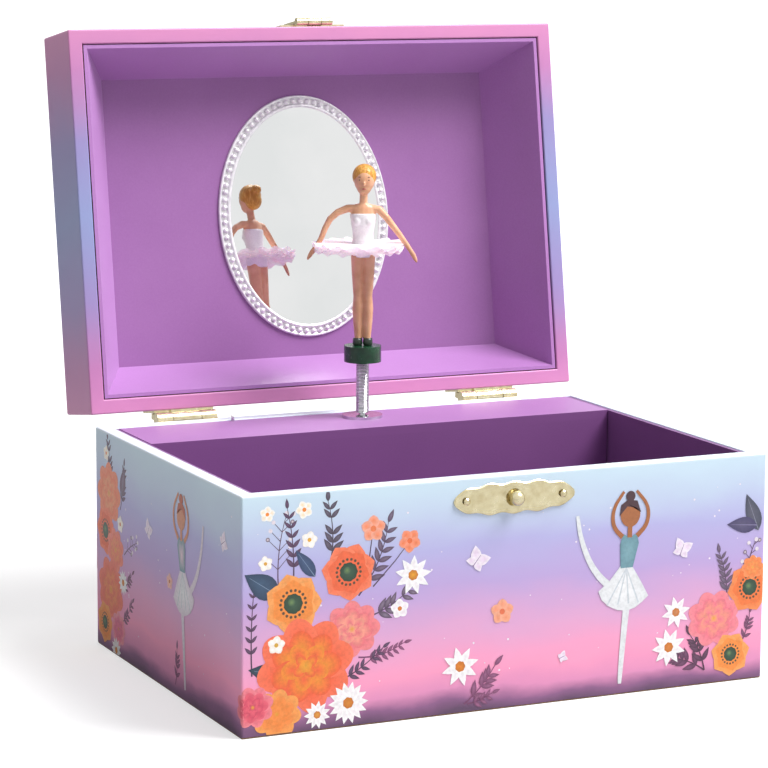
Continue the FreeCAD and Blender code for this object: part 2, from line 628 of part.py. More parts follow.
module = size.crown_module
crown = shape("crown_wheel", crown_gear(
    size.crown_teeth, module, size.crown_face, size.crown_plate, size.arbor_radius,
), Placement(Vector(0, number("crown_y"), ARBOR_Z), TO_FRONT))
keep(crown, "crown_gear")

barrel_front = number("dancer_y - crown_pinion_radius") - 0.8 * module - 0.6 - size.barrel_length
ARBOR_START = barrel_front - 1.0
arbor_end = number("box_depth / 2 + eyelet_flange + key_gap + key_hub")
arbor = Part.makeCylinder(size.arbor_radius, arbor_end - ARBOR_START, Vector(0, ARBOR_START, ARBOR_Z),
                          Vector(0, 1, 0))
keep(shape("arbor_bar", arbor), "winding_arbor")


def barrel_shape():
    """The mainspring's cup, open to the back, cast with a square flange and four legs."""
    across = 2 * (size.pillar_circle / math.sqrt(2) + size.pillar_radius + 0.6)
    flange = Part.makeBox(across, size.barrel_wall, across,
                          Vector(-across / 2, barrel_front, ARBOR_Z - across / 2))
    cup = Part.makeCylinder(size.barrel_radius, size.barrel_length, Vector(0, barrel_front, ARBOR_Z),
                            Vector(0, 1, 0))
    hollow = Part.makeCylinder(size.barrel_radius - size.barrel_wall, size.barrel_length,
                               Vector(0, barrel_front + size.barrel_wall, ARBOR_Z), Vector(0, 1, 0))
    hole = Part.makeCylinder(size.arbor_radius + size.running_play, 3 * size.barrel_wall,
                             Vector(0, barrel_front - size.barrel_wall, ARBOR_Z), Vector(0, 1, 0))
    offset = size.pillar_circle / math.sqrt(2)
    pillars = [
        Part.makeCylinder(size.pillar_radius, BED_Y - barrel_front,
                          Vector(sx * offset, barrel_front, ARBOR_Z + sz * offset), Vector(0, 1, 0))
        for sx in (-1, 1) for sz in (-1, 1)
    ]
    return flange.fuse([cup] + pillars).cut(hollow).cut(hole)


keep(shape("barrel_cast", barrel_shape()), "spring_barrel")


def mainspring_shape():
    """A coiled steel strip between the arbor and the barrel's wall."""
    turns = 5
    inner = size.arbor_radius + 0.35
    outer = size.barrel_radius - size.barrel_wall - 0.35 - size.mainspring_strip
    steps = turns * 12

    def coil(grow):
        points = []
        for step in range(steps + 1):
            angle = 2 * math.pi * turns * step / steps
            radius = inner + (outer - inner) * step / steps + grow
            points.append(Vector(radius * math.cos(angle), radius * math.sin(angle), 0))
        curve = Part.BSplineCurve()
        curve.interpolate(points)
        return curve.toShape(), points

    near, near_points = coil(0.0)
    far, far_points = coil(size.mainspring_strip)
    ends = [Part.makeLine(near_points[0], far_points[0]), Part.makeLine(near_points[-1], far_points[-1])]
    outline = Part.Wire(Part.sortEdges([near, far] + ends)[0])
    strip = Part.Face(outline).extrude(Vector(0, 0, size.barrel_length - size.barrel_wall - 0.8))
    return strip


keep(shape("mainspring_strip_coil", mainspring_shape(), Placement(
    Vector(0, number("dancer_y - crown_pinion_radius") - 0.8 * module - 1.0, ARBOR_Z), TO_FRONT)),
    "mainspring")

pinion_start, inner_bracket, drum_start = (
    number(name) for name in ("pinion_start", "inner_bracket", "drum_start"))
outer_bracket, first_mesh, second_mesh = (
    number(name) for name in ("outer_bracket", "first_mesh", "second_mesh"))
governor_side, fly_start = number("governor_side"), number("fly_start")
spread = number("train_radius + train_pinion_radius")
middle_y, middle_z = DANCER_Y - 0.6 * spread, ARBOR_Z + 0.8 * spread
fly_y, fly_z = middle_y, middle_z + spread


def leftward(solid, start, y, z):
    """A solid about +Z laid along -X from the given distance left of the arbor."""
    return solid, Placement(Vector(-start, y, z), TO_LEFT)


def bar_left(start, end, y, z, radius):
    return Part.makeCylinder(radius, end - start, Vector(-start, y, z), Vector(-1, 0, 0))


def mesh_turn(y_from, z_from, y_to, z_to):
    """The angle, in the gear's own plane, of the line from one axis to the next."""
    return math.degrees(math.atan2(y_to - y_from, z_to - z_from))


bore = size.shaft_radius
drum_pinion = spur_gear(size.pinion_teeth, module, size.crown_face, 0, 90.0)
drum_bar = Part.makeCylinder(bore, first_mesh + size.gear_face - pinion_start + 0.6, Vector(0, 0, -0.4))
keep(shape("drum_shaft_turned", *leftward(drum_pinion.fuse(drum_bar), pinion_start, DANCER_Y, ARBOR_Z)),
     "drum_shaft")


def drum_shape():
    """The pinned music cylinder: a sleeve with a row of pins for each comb tooth."""
    sleeve = Part.makeCylinder(size.drum_radius, size.drum_length)
    pins = []
    for row in range(int(size.comb_teeth)):
        along = size.drum_length * (row + 0.5) / size.comb_teeth
        for beat in range(3):
            angle = (row * 137.5 + beat * 113.0) % 360
            pin = Part.makeCylinder(0.22, size.drum_pin + 0.5, Vector(size.drum_radius - 0.5, 0, along),
                                    Vector(1, 0, 0))
            pin.rotate(Vector(), Vector(0, 0, 1), angle)
            pins.append(pin)
    drum = sleeve.fuse(pins)
    return drum.cut(Part.makeCylinder(bore, size.drum_length))


keep(shape("drum_sleeve", *leftward(drum_shape(), drum_start, DANCER_Y, ARBOR_Z)), "music_drum")
towards_middle = mesh_turn(DANCER_Y, ARBOR_Z, middle_y, middle_z)
drum_gear = spur_gear(size.train_teeth, size.train_module, size.gear_face, bore, towards_middle)
keep(shape("drum_gear_cut", *leftward(drum_gear, first_mesh, DANCER_Y, ARBOR_Z)), "drum_gear")

half_tooth = 180 / size.pinion_teeth
middle_pinion = spur_gear(size.pinion_teeth, size.train_module, size.gear_face, 0,
                          towards_middle + 180 + half_tooth)
middle_wheel = spur_gear(size.train_teeth, size.train_module, size.gear_face, bore,
                         mesh_turn(middle_y, middle_z, fly_y, fly_z))
keep(shape("middle_wheel_cut", *leftward(middle_wheel, second_mesh, middle_y, middle_z)),
     "governor_wheel")
middle_bar = Part.makeCylinder(bore, governor_side + size.bracket - outer_bracket,
                               Vector(0, 0, outer_bracket - first_mesh))
keep(shape("middle_shaft_turned", *leftward(middle_pinion.fuse(middle_bar), first_mesh, middle_y,
                                            middle_z)), "governor_shaft")

fly_pinion = spur_gear(size.pinion_teeth, size.train_module, size.gear_face, 0,
                       mesh_turn(fly_y, fly_z, middle_y, middle_z) + half_tooth)
fly_bar = Part.makeCylinder(bore, fly_start + size.fly_width + 0.6 - outer_bracket,
                            Vector(0, 0, outer_bracket - second_mesh))
vanes = Part.makeBox(2 * size.fly_reach, size.fly_thick, size.fly_width, Vector(
    -size.fly_reach, -size.fly_thick / 2, fly_start - second_mesh))
keep(shape("fly_whole", *leftward(fly_pinion.fuse([fly_bar, vanes]), second_mesh, fly_y, fly_z)),
     "air_fly")


def bracket_plate(start, y_low, z_low, z_high, axes):
    """An upright bearing plate from the bedplate forwards, bored for its shafts."""
    plate = Part.makeBox(size.bracket, BED_Y - y_low, z_high - z_low,
                         Vector(-start - size.bracket, y_low, z_low))
    for y, z in axes:
        plate = plate.cut(bar_left(start - 1, start + size.bracket + 1, y, z, bore + size.running_play))
    return plate


drum_axis, middle_axis, fly_axis = (DANCER_Y, ARBOR_Z), (middle_y, middle_z), (fly_y, fly_z)
margin = 2.4
keep(shape("inner_plate", bracket_plate(inner_bracket, DANCER_Y - margin, ARBOR_Z - margin,
                                        ARBOR_Z + margin, [drum_axis])), "drum_bracket_inner")
keep(shape("outer_plate", bracket_plate(outer_bracket, middle_y - margin, ARBOR_Z - margin,
                                        fly_z + margin, [drum_axis, middle_axis, fly_axis])),
     "drum_bracket_outer")
keep(shape("governor_plate", bracket_plate(governor_side, middle_y - margin, middle_z - margin,
                                           fly_z + margin, [middle_axis, fly_axis])),
     "governor_bracket")


def comb_shape():
    """The tuned steel comb below the drum, with a slot between each pair of teeth."""
    top = ARBOR_Z - size.drum_radius - size.drum_pin - 0.2
    plate = Part.makeBox(size.drum_length, size.comb_thick, size.comb_height, Vector(
        -drum_start - size.drum_length, DANCER_Y - size.comb_thick / 2, top - size.comb_height))
    pitch = size.drum_length / size.comb_teeth
    slots = [
        Part.makeBox(0.2, 3 * size.comb_thick, size.comb_tooth_length, Vector(
            -drum_start - i * pitch - 0.1, DANCER_Y - 1.5 * size.comb_thick,
            top - size.comb_tooth_length + 0.01))
        for i in range(1, int(size.comb_teeth))
    ]
    return plate.cut(Part.makeCompound(slots)), top


comb_solid, comb_top = comb_shape()
comb_low = comb_top - size.comb_height
comb_back = DANCER_Y + size.comb_thick / 2
comb_screw_z = comb_low + (size.comb_height - size.comb_tooth_length) / 2
comb_screw_set = []
for share in (0.2, 0.8):
    x = -drum_start - share * size.drum_length
    shank = Part.makeCylinder(size.screw_radius, size.comb_thick + 4.0, Vector(
        x, DANCER_Y - size.comb_thick / 2, comb_screw_z), Vector(0, 1, 0))
    head = Part.makeCylinder(size.screw_head_radius, size.screw_head, Vector(
        x, DANCER_Y - size.comb_thick / 2 - size.screw_head, comb_screw_z), Vector(0, 1, 0))
    comb_screw_set.append(shank.fuse(head))
comb_screws = Part.makeCompound(comb_screw_set)
keep(group("movement_screw_set", [bed_screws, shape("comb_screw_pair", comb_screws)]), "movement_screws")
keep(shape("comb_cut", comb_solid.cut(comb_screws)), "comb")
comb_block = Part.makeBox(size.drum_length, BED_Y - comb_back, size.comb_height - size.comb_tooth_length,
                          Vector(-drum_start - size.drum_length, comb_back, comb_low))
keep(shape("comb_block_cut", comb_block.cut(comb_screws)), "comb_base")

bed_blank = box("bed_blank", "-bed_left", "bed_y", "bedplate_low", "bed_left + bedplate_right",
                "bedplate", "bedplate_high - bedplate_low")
bed_bore = cylinder("bed_bore", "y", "0", "bed_y - 1", "arbor_height", "arbor_radius + running_play",
                    "bedplate + 2")
keep(cut("bed_drilled", bed_blank, [bed_bore, bed_screws]), "bedplate")

# The upright shaft takes the crown gear's turn to the dancer.
shaft_low = ARBOR_Z + pinion_start
shaft_top = number("spring_base") + 3.0
shaft_pinion = spur_gear(size.pinion_teeth, module, size.crown_face, 0, 90.0)
upright_bar = Part.makeCylinder(bore, shaft_top - shaft_low + 0.4, Vector(0, 0, -0.4))
keep(shape("upright_shaft", shaft_pinion.fuse(upright_bar), Placement(
    Vector(0, DANCER_Y, shaft_low), Rotation())), "drive_shaft")
guide_z = shaft_low + size.crown_face + 3.0
guide = Part.makeBox(3 * margin, BED_Y - DANCER_Y + margin, size.bracket, Vector(
    -1.5 * margin, DANCER_Y - margin, guide_z))
guide = guide.cut(Part.makeCylinder(bore + size.running_play, 3 * size.bracket, Vector(
    0, DANCER_Y, guide_z - size.bracket)))
keep(shape("shaft_guide_plate", guide), "shaft_guide")

flange = cylinder("bush_flange", "z", "0", "dancer_y", "platform_top", "bush_radius", "bush_flange")
neck = cylinder("bush_neck", "z", "0", "dancer_y", "platform_under", "bush_neck_radius",
                "platform_board + bush_flange")
bush_bore = cylinder("bush_bore", "z", "0", "dancer_y", "platform_under - 1",
                     "shaft_radius + running_play", "platform_board + bush_flange + 2")
keep(cut("bush_bored", fuse("bush_blank", [flange, neck]), [bush_bore]), "shaft_bush")

# The eyelet lines the winding hole, and the butterfly key is pushed onto the arbor behind it.
eyelet_body = fuse("eyelet_blank", [
    cylinder("eyelet_flange", "y", "0", "box_depth / 2", "arbor_height", "eyelet_radius", "eyelet_flange"),
    cylinder("eyelet_neck", "y", "0", "board_y", "arbor_height", "eyelet_neck_radius",
             "board + paper + eyelet_flange"),
])
eyelet_bore = cylinder("eyelet_bore", "y", "0", "board_y - 1", "arbor_height",
                       "arbor_radius + running_play", "board + paper + eyelet_flange + 2")
keep(cut("eyelet_bored", eyelet_body, [eyelet_bore]), "key_eyelet")

key_y = "box_depth / 2 + eyelet_flange + key_gap"
key_parts = [cylinder("key_hub_bar", "y", "0", key_y, "arbor_height", "key_hub_radius", "key_hub + 2")]
for i, sign in enumerate((-1, 1)):
    centre = f"{sign} * key_span * 0.28"
    lobe = cylinder(f"key_lobe_{i}", "y", centre, f"{key_y} + key_hub / 2", "arbor_height",
                    "key_span * 0.22", "key_thick")
    eye = cylinder(f"key_eye_{i}", "y", centre, f"{key_y} + key_hub / 2 - 1", "arbor_height",
                   "key_span * 0.07", "key_thick + 2")
    key_parts.append(cut(f"key_wing_{i}", lobe, [eye]))
key_bore = cylinder("key_bore", "y", "0", f"{key_y} - 1", "arbor_height", "arbor_radius", "key_hub + 1")
keep(cut("key_bored", fuse("key_blank", key_parts), [key_bore]), "winding_key")

# The stop wire stands through the platform and lowers its pad onto the fly as the lid shuts.
def stop_wire_shape():
    """A wire bent twice, up through the platform at the back and down over the fly."""
    x, back = number(WIRE_X), number(WIRE_Y)
    pad_low = fly_z + size.fly_reach + size.wire_travel + 0.3
    run_z = number("platform_under - rest_height - 2 * wire_radius")
    corners = [
        Vector(x, fly_y, pad_low + size.wire_pad / 2), Vector(x, fly_y, run_z), Vector(x, back, run_z),
        Vector(x, back, number("platform_top") + size.wire_rise),
    ]
    wire = Part.makeCylinder(size.wire_pad_radius, size.wire_pad, Vector(x, fly_y, pad_low))
    pieces = [Part.makeSphere(size.wire_radius, corner) for corner in corners[1:]]
    for start, end in zip(corners, corners[1:]):
        along = end.sub(start)
        pieces.append(Part.makeCylinder(size.wire_radius, along.Length, start, along))
    return wire.fuse(pieces)


keep(shape("stop_wire_bent", stop_wire_shape()), "stop_wire")


# ---------------------------------------------------------------- dancer
spring_out = cylinder("spring_out", "z", "0", "dancer_y", "spring_base", "spring_radius", "spring_length")
spring_in = cylinder("spring_in", "z", "0", "dancer_y", "spring_base - 1", "spring_bore",
                     "spring_length + 2")
keep(cut("spring_tube", spring_out, [spring_in]), "dancer_spring")
keep(cylinder("stand_disc", "z", "0", "dancer_y", "stand_base", "stand_radius", "stand_height"),
     "dancer_stand")


def tapered(start, end, radius1, radius2):
    """A limb with rounded ends between two points."""
    along = end.sub(start)
    limb = Part.makeCone(radius1, radius2, along.Length, start, along)
    return limb.fuse([Part.makeSphere(radius1, start), Part.makeSphere(radius2, end)])


def figure_shape():
    """The moulded figure: feet together on the stand, arms held out and down at her sides."""
    leg_top = size.leg_height
    solid = tapered(Vector(0, 0, 1.0), Vector(0, 0, leg_top), 1.0, 2.9)
    solid = solid.fuse([
        tapered(Vector(0, 0, leg_top), Vector(0, 0, size.waist_height + 2), 2.9, 2.4),
        tapered(Vector(0, 0, size.waist_height + 2), Vector(0, 0, size.shoulder_height - 1.6), 2.4, 2.8),
        tapered(Vector(0, 0, size.shoulder_height), Vector(0, 0, size.head_height), 1.4, 1.2),
        Part.makeSphere(size.head_radius, Vector(0, 0, size.head_height)),
        Part.makeSphere(size.head_radius * 0.5, Vector(0, size.head_radius, size.head_height + 1.6)),
    ])
    for sign in (-1, 1):
        shoulder = Vector(sign * 3.6, 0, size.shoulder_height - 0.6)
        elbow = Vector(sign * 9.6, -0.4, size.hand_height + 8.6)
        hand = Vector(sign * size.hand_spread, -0.8, size.hand_height)
        solid = solid.fuse([tapered(Vector(sign * 1.6, 0, shoulder.z), shoulder, 1.3, 1.2),
                            tapered(shoulder, elbow, 1.2, 0.9), tapered(elbow, hand, 0.9, 0.75)])
    feet = Part.makeCylinder(2.2, 1.4)
    solid = solid.fuse(feet)
    return solid.common(Part.makeBox(60, 60, 80, Vector(-30, -30, 0)))


def tutu_shape():
    """The skirt: a thick dished disc round the hips."""
    radius, thick = size.tutu_radius, size.tutu_thick
    profile = Part.makePolygon([
        Vector(2.2, 0, 0), Vector(radius, 0, 0.25 * thick), Vector(radius, 0, 0.6 * thick),
        Vector(2.2, 0, thick), Vector(2.2, 0, 0),
    ])
    return Part.Face(profile).revolve(Vector(), Vector(0, 0, 1), 360)


dancer_place = Placement(Vector(0, DANCER_Y, number("foot_level")), Rotation(
    Vector(0, 0, 1), -size.dancer_turn))
figure = figure_shape()
skirt = tutu_shape()
skirt.translate(Vector(0, 0, size.tutu_height - size.tutu_thick / 2))
keep(shape("dancer_moulding", figure.cut(skirt), dancer_place), "dancer_figure")
keep(shape("dancer_skirt", skirt, dancer_place), "dancer_tutu")


# ---------------------------------------------------------------- checks and export
doc.recompute()
problems = [piece.Name for piece in doc.Objects if {"Invalid", "Error"} & set(piece.State)]
for piece in NODES:
    if piece.Shape.isNull() or not piece.Shape.isValid() or not piece.Shape.Solids:
        problems.append(piece.Label)
if problems:
    raise RuntimeError("these objects failed: " + ", ".join(problems))
os.makedirs("parts", exist_ok=True)
for piece in NODES:
    piece.Shape.exportStep(f"parts/{piece.Label}.step")
print(len(NODES), "sub-parts written")
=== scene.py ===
import json
import math
import random
import bmesh
import bpy
from mathutils import Matrix, Vector


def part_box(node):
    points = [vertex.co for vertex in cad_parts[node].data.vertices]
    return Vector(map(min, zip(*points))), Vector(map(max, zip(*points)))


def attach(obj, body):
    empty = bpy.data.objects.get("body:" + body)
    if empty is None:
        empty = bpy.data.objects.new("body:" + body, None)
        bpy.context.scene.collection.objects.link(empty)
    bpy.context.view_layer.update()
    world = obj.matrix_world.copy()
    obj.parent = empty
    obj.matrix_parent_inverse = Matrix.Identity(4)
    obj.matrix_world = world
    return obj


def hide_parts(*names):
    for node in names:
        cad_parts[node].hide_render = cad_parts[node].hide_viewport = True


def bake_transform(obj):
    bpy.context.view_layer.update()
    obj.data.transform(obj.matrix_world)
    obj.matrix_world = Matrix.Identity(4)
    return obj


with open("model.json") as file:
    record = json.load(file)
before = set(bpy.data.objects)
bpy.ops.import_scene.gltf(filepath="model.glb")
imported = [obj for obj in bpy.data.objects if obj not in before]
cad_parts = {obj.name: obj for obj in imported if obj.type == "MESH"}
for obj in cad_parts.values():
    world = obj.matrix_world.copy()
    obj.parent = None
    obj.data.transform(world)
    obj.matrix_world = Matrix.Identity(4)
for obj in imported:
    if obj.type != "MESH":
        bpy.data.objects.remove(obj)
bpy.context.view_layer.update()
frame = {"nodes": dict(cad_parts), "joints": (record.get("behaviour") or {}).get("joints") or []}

MM = 0.001


# ------------------------------------------------------------------ fibreboard shell
# The case and lid are glued up from thin fibreboard with plain butt joints.
# It is sanded brown board, and the paper hides all but the underside.
def paint(code):
    """A hex paint code as a linear colour."""
    parts = [int(code[i:i + 2], 16) / 255 for i in (1, 3, 5)]
    return tuple(c / 12.92 if c <= 0.04045 else ((c + 0.055) / 1.055) ** 2.4 for c in parts) + (1.0,)


def finish_named(name, **constants):
    """A new material, with what is the same all over set on the shader's own sockets."""
    material = bpy.data.materials.new(name)
    material.use_nodes = True
    shader = material.node_tree.nodes["Principled BSDF"]
    for socket, value in constants.items():
        shader.inputs[socket.replace("_", " ")].default_value = value
    return material, material.node_tree, shader


def node(tree, kind, **inputs):
    """A shader node whose inputs are given as values or as sockets to link from."""
    made = tree.nodes.new(kind)
    for name, value in inputs.items():
        slot = made.inputs[int(name[1:])] if name[1:].isdigit() else made.inputs[name.replace("_", " ")]
        if isinstance(value, bpy.types.NodeSocket):
            tree.links.new(value, slot)
        else:
            slot.default_value = value
    return made


def math_node(tree, operation, *values, clamp=False):
    made = node(tree, "ShaderNodeMath", **{f"_{i}": value for i, value in enumerate(values)})
    made.operation = operation
    made.use_clamp = clamp
    return made.outputs[0]


def ramp(tree, factor, stops):
    """A colour ramp with its stops given as (position, hex code)."""
    made = node(tree, "ShaderNodeValToRGB", Fac=factor)
    elements = made.color_ramp.elements
    while len(elements) < len(stops):
        elements.new(0.5)
    for element, (position, code) in zip(elements, stops):
        element.position = position
        element.color = paint(code)
    return made.outputs[0]


def mix_colour(tree, factor, low, high, blend="MIX"):
    made = tree.nodes.new("ShaderNodeMix")
    made.data_type = "RGBA"
    made.blend_type = blend
    for index, value in ((0, factor), (6, low), (7, high)):
        if isinstance(value, bpy.types.NodeSocket):
            tree.links.new(value, made.inputs[index])
        else:
            made.inputs[index].default_value = value
    return made.outputs[2]


def effect_group(name, inputs, outputs):
    """An empty node group with named sockets; returns its tree and its two end nodes."""
    tree = bpy.data.node_groups.new(name, "ShaderNodeTree")
    for label, kind, value in inputs:
        socket = tree.interface.new_socket(label, in_out="INPUT", socket_type=kind)
        socket.default_value = value
    for label, kind in outputs:
        tree.interface.new_socket(label, in_out="OUTPUT", socket_type=kind)
    return tree, tree.nodes.new("NodeGroupInput"), tree.nodes.new("NodeGroupOutput")


def use_group(tree, group, **values):
    made = tree.nodes.new("ShaderNodeGroup")
    made.node_tree = group
    for name, value in values.items():
        slot = made.inputs[name.replace("_", " ")]
        if isinstance(value, bpy.types.NodeSocket):
            tree.links.new(value, slot)
        else:
            slot.default_value = value
    return made


# Fine grain: two sizes of noise in millimetres, as a mask to tint with and a height to bump with.
grain_group, grain_in, grain_out = effect_group(
    "fine_grain",
    [("Size", "NodeSocketFloat", 1.0), ("Stretch", "NodeSocketVector", (1, 1, 1))],
    [("Mask", "NodeSocketFloat"), ("Height", "NodeSocketFloat")],
)
grain_place = grain_group.nodes.new("ShaderNodeTexCoord")
stretched = node(grain_group, "ShaderNodeVectorMath", _0=grain_place.outputs["Object"],
                 _1=grain_in.outputs["Stretch"])
stretched.operation = "MULTIPLY"
per_size = math_node(grain_group, "DIVIDE", 1000.0, grain_in.outputs["Size"])
coarse = node(grain_group, "ShaderNodeTexNoise", Vector=stretched.outputs[0], Scale=per_size, Detail=4.0)
fine_scale = math_node(grain_group, "MULTIPLY", per_size, 4.0)
fine = node(grain_group, "ShaderNodeTexNoise", Vector=stretched.outputs[0], Scale=fine_scale, Detail=2.0)
grain_group.links.new(coarse.outputs[0], grain_out.inputs["Mask"])
both = math_node(grain_group, "ADD", coarse.outputs[0], math_node(grain_group, "MULTIPLY",
                                                                 fine.outputs[0], 0.5))
grain_group.links.new(both, grain_out.inputs["Height"])


def bump(tree, shader, height, distance, strength=0.5):
    """Feeds a height in millimetres of depth to the shader's normal."""
    made = node(tree, "ShaderNodeBump", Strength=strength, Distance=distance * MM, Height=height)
    tree.links.new(made.outputs[0], shader.inputs["Normal"])


fibreboard, board_tree, board_shader = finish_named("fibreboard", Roughness=0.85)
board_grain = use_group(board_tree, grain_group, Size=0.9)
board_tree.links.new(ramp(board_tree, board_grain.outputs["Mask"], [
    (0.25, "#6e4f34"), (0.5, "#93704c"), (0.75, "#b38f66")]), board_shader.inputs["Base Color"])
bump(board_tree, board_shader, board_grain.outputs["Height"], 0.08)


def finish_nodes(material, *names):
    """Gives the named nodes of the assembly their material."""
    for name in names:
        mesh = frame["nodes"][name].data
        mesh.materials.clear()
        mesh.materials.append(material)


finish_nodes(fibreboard, "base_board", "front_board", "back_board", "left_board", "right_board",
             "platform_rest", "lid_top_board", "lid_front_board", "lid_back_board", "lid_left_board",
             "lid_right_board")

# ------------------------------------------------------------------ printed paper wraps
# One printed sheet is glued round the case and one round the lid, each turned over the rim.
# It is satin-varnished paper, a quarter of a millimetre thick, which softens the board's corners.
PAPER = 0.25 * MM
WALL = 3.85 * MM
CORNER_ROUND = 0.6 * MM
RIM_ROUND = 0.45 * MM
TUCK = 2.6 * MM
WRAP_FOOT = 0.4 * MM

wrap_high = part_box("case_wrap")[1]
half_x, half_y = wrap_high.x, wrap_high.y
case_top = wrap_high.z
lid_joint = next(joint for joint in frame["joints"] if joint["name"] == "lid_hinge")
hinge_line = Vector(lid_joint["pos_m"])
LID_OPEN = math.radians(lid_joint["range_deg"][1])
open_lid = (Matrix.Translation(hinge_line) @ Matrix.Rotation(-LID_OPEN, 4, "X")
            @ Matrix.Translation(-hinge_line))
LID_GAP = 0.3 * MM
LID_HEIGHT = 21.5 * MM
lid_bottom = case_top + LID_GAP
lid_top = lid_bottom + LID_HEIGHT


def rounded_ring(inset, level, steps=5):
    """Points round the case's outline, drawn in by the inset."""
    radius = max(CORNER_ROUND - inset, 0.03 * MM)
    ring = []
    for quarter, (sign_x, sign_y) in enumerate(((1, 1), (-1, 1), (-1, -1), (1, -1))):
        centre = Vector((sign_x * (half_x - inset - radius), sign_y * (half_y - inset - radius), level))
        for step in range(steps + 1):
            angle = (quarter + step / steps) * math.pi / 2
            ring.append(centre + radius * Vector((math.cos(angle), math.sin(angle), 0)))
    return ring


def join_rings(mesh, rings, closed):
    """Faces between neighbouring rings of vertices, and back to the first if closed."""
    rows = [[mesh.verts.new(point) for point in ring] for ring in rings]
    count = len(rows[0])
    pairs = list(zip(rows, rows[1:]))
    if closed:
        pairs.append((rows[-1], rows[0]))
    for low, high in pairs:
        for i in range(count):
            j = (i + 1) % count
            mesh.faces.new((low[i], low[j], high[j], high[i]))
    return rows


def new_piece(mesh, name, material, smooth=True):
    """Makes a mesh into a named piece in one material."""
    data = bpy.data.meshes.new(name)
    mesh.to_mesh(data)
    mesh.free()
    data.materials.append(material)
    for face in data.polygons:
        face.use_smooth = smooth
    piece = bpy.data.objects.new(name, data)
    bpy.context.scene.collection.objects.link(piece)
    return piece


def place_mesh(mesh, name, material, body, move=None):
    """Makes a mesh into a smooth piece that rides on a body."""
    if move is not None:
        mesh.transform(move)
    bmesh.ops.recalc_face_normals(mesh, faces=mesh.faces)
    piece = new_piece(mesh, name, material)
    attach(piece, body)
    return piece


def harden(piece):
    """Keeps the flats flat and the small rounds smooth."""
    modifier = piece.modifiers.new("weighted", "WEIGHTED_NORMAL")
    modifier.keep_sharp = True


def arc(centre_in, centre_up, radius, start, end, steps=4):
    """Profile points, as (inset, height), round a small curve; angles from straight inwards."""
    points = []
    for step in range(steps + 1):
        angle = math.radians(start + (end - start) * step / steps)
        points.append((centre_in + radius * math.cos(angle), centre_up + radius * math.sin(angle)))
    return points


outer_rim = arc(RIM_ROUND, case_top - RIM_ROUND, RIM_ROUND, 180, 90)
inner_rim = arc(WALL - RIM_ROUND + PAPER, case_top - RIM_ROUND, RIM_ROUND, 90, 0)
case_profile = (
    [(0, WRAP_FOOT)] + outer_rim + inner_rim
    + [(WALL + PAPER, case_top - TUCK), (WALL, case_top - TUCK), (WALL, case_top - PAPER),
       (PAPER, case_top - PAPER), (PAPER, WRAP_FOOT)]
)
case_mesh = bmesh.new()
join_rings(case_mesh, [rounded_ring(inset, level) for inset, level in case_profile], closed=True)

# The print fades from a dusk-pink ground up to pale blue. The turned edges are almost white: partly paper
# worn to its white core, partly a painted highlight.
case_print, print_tree, print_shader = finish_named("case_print", Roughness=0.42, Coat_Weight=0.25,
                                                    Coat_Roughness=0.25)
print_place = node(print_tree, "ShaderNodeTexCoord")
print_axes = node(print_tree, "ShaderNodeSeparateXYZ", Vector=print_place.outputs["Object"])
wash = use_group(print_tree, grain_group, Size=26.0, Stretch=(1, 1, 2.2))
washed = math_node(print_tree, "MULTIPLY_ADD", wash.outputs["Mask"], 0.14, -0.07)
height_share = math_node(print_tree, "DIVIDE", print_axes.outputs[2], case_top)
print_level = math_node(print_tree, "ADD", height_share, washed)
fade = ramp(print_tree, print_level, [
    (0.0, "#5d4160"), (0.045, "#8a5a86"), (0.10, "#e291bd"), (0.20, "#fb9fc4"), (0.36, "#e2a6d0"),
    (0.55, "#bda5da"), (0.72, "#b6b3e2"), (0.86, "#c3d2ea"), (1.0, "#cbe2f0"),
])
rim_wear_and_highlight = math_node(print_tree, "MULTIPLY_ADD", height_share, 60.0, -59.2, clamp=True)
print_tree.links.new(mix_colour(print_tree, rim_wear_and_highlight, fade, paint("#eef6ff")),
                     print_shader.inputs["Base Color"])
print_fibre = use_group(print_tree, grain_group, Size=0.35)
bump(print_tree, print_shader, print_fibre.outputs["Height"], 0.02, 0.25)
case_sheet = place_mesh(case_mesh, "case_printed_wrap", case_print, "case")
harden(case_sheet)
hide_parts("case_wrap")

lid_outer_rim = arc(RIM_ROUND, lid_bottom + RIM_ROUND, RIM_ROUND, 180, 270)
lid_inner_rim = arc(WALL - RIM_ROUND + PAPER, lid_bottom + RIM_ROUND, RIM_ROUND, 270, 360)
lid_profile = (
    [(WALL, lid_bottom + PAPER), (WALL, lid_bottom + TUCK), (WALL + PAPER, lid_bottom + TUCK)]
    + lid_inner_rim[::-1] + lid_outer_rim[::-1] + arc(RIM_ROUND, lid_top - RIM_ROUND, RIM_ROUND, 180, 90)
)
lid_mesh = bmesh.new()
lid_rows = join_rings(lid_mesh, [rounded_ring(inset, level) for inset, level in lid_profile], closed=False)
lid_mesh.faces.new(lid_rows[-1])
under_rows = join_rings(lid_mesh, [rounded_ring(inset, level) for inset, level in (
    (PAPER, lid_bottom + PAPER), (PAPER, lid_top - PAPER))], closed=False)
lid_mesh.faces.new(under_rows[-1])
for i in range(len(under_rows[0])):
    j = (i + 1) % len(under_rows[0])
    lid_mesh.faces.new((lid_rows[0][i], lid_rows[0][j], under_rows[0][j], under_rows[0][i]))

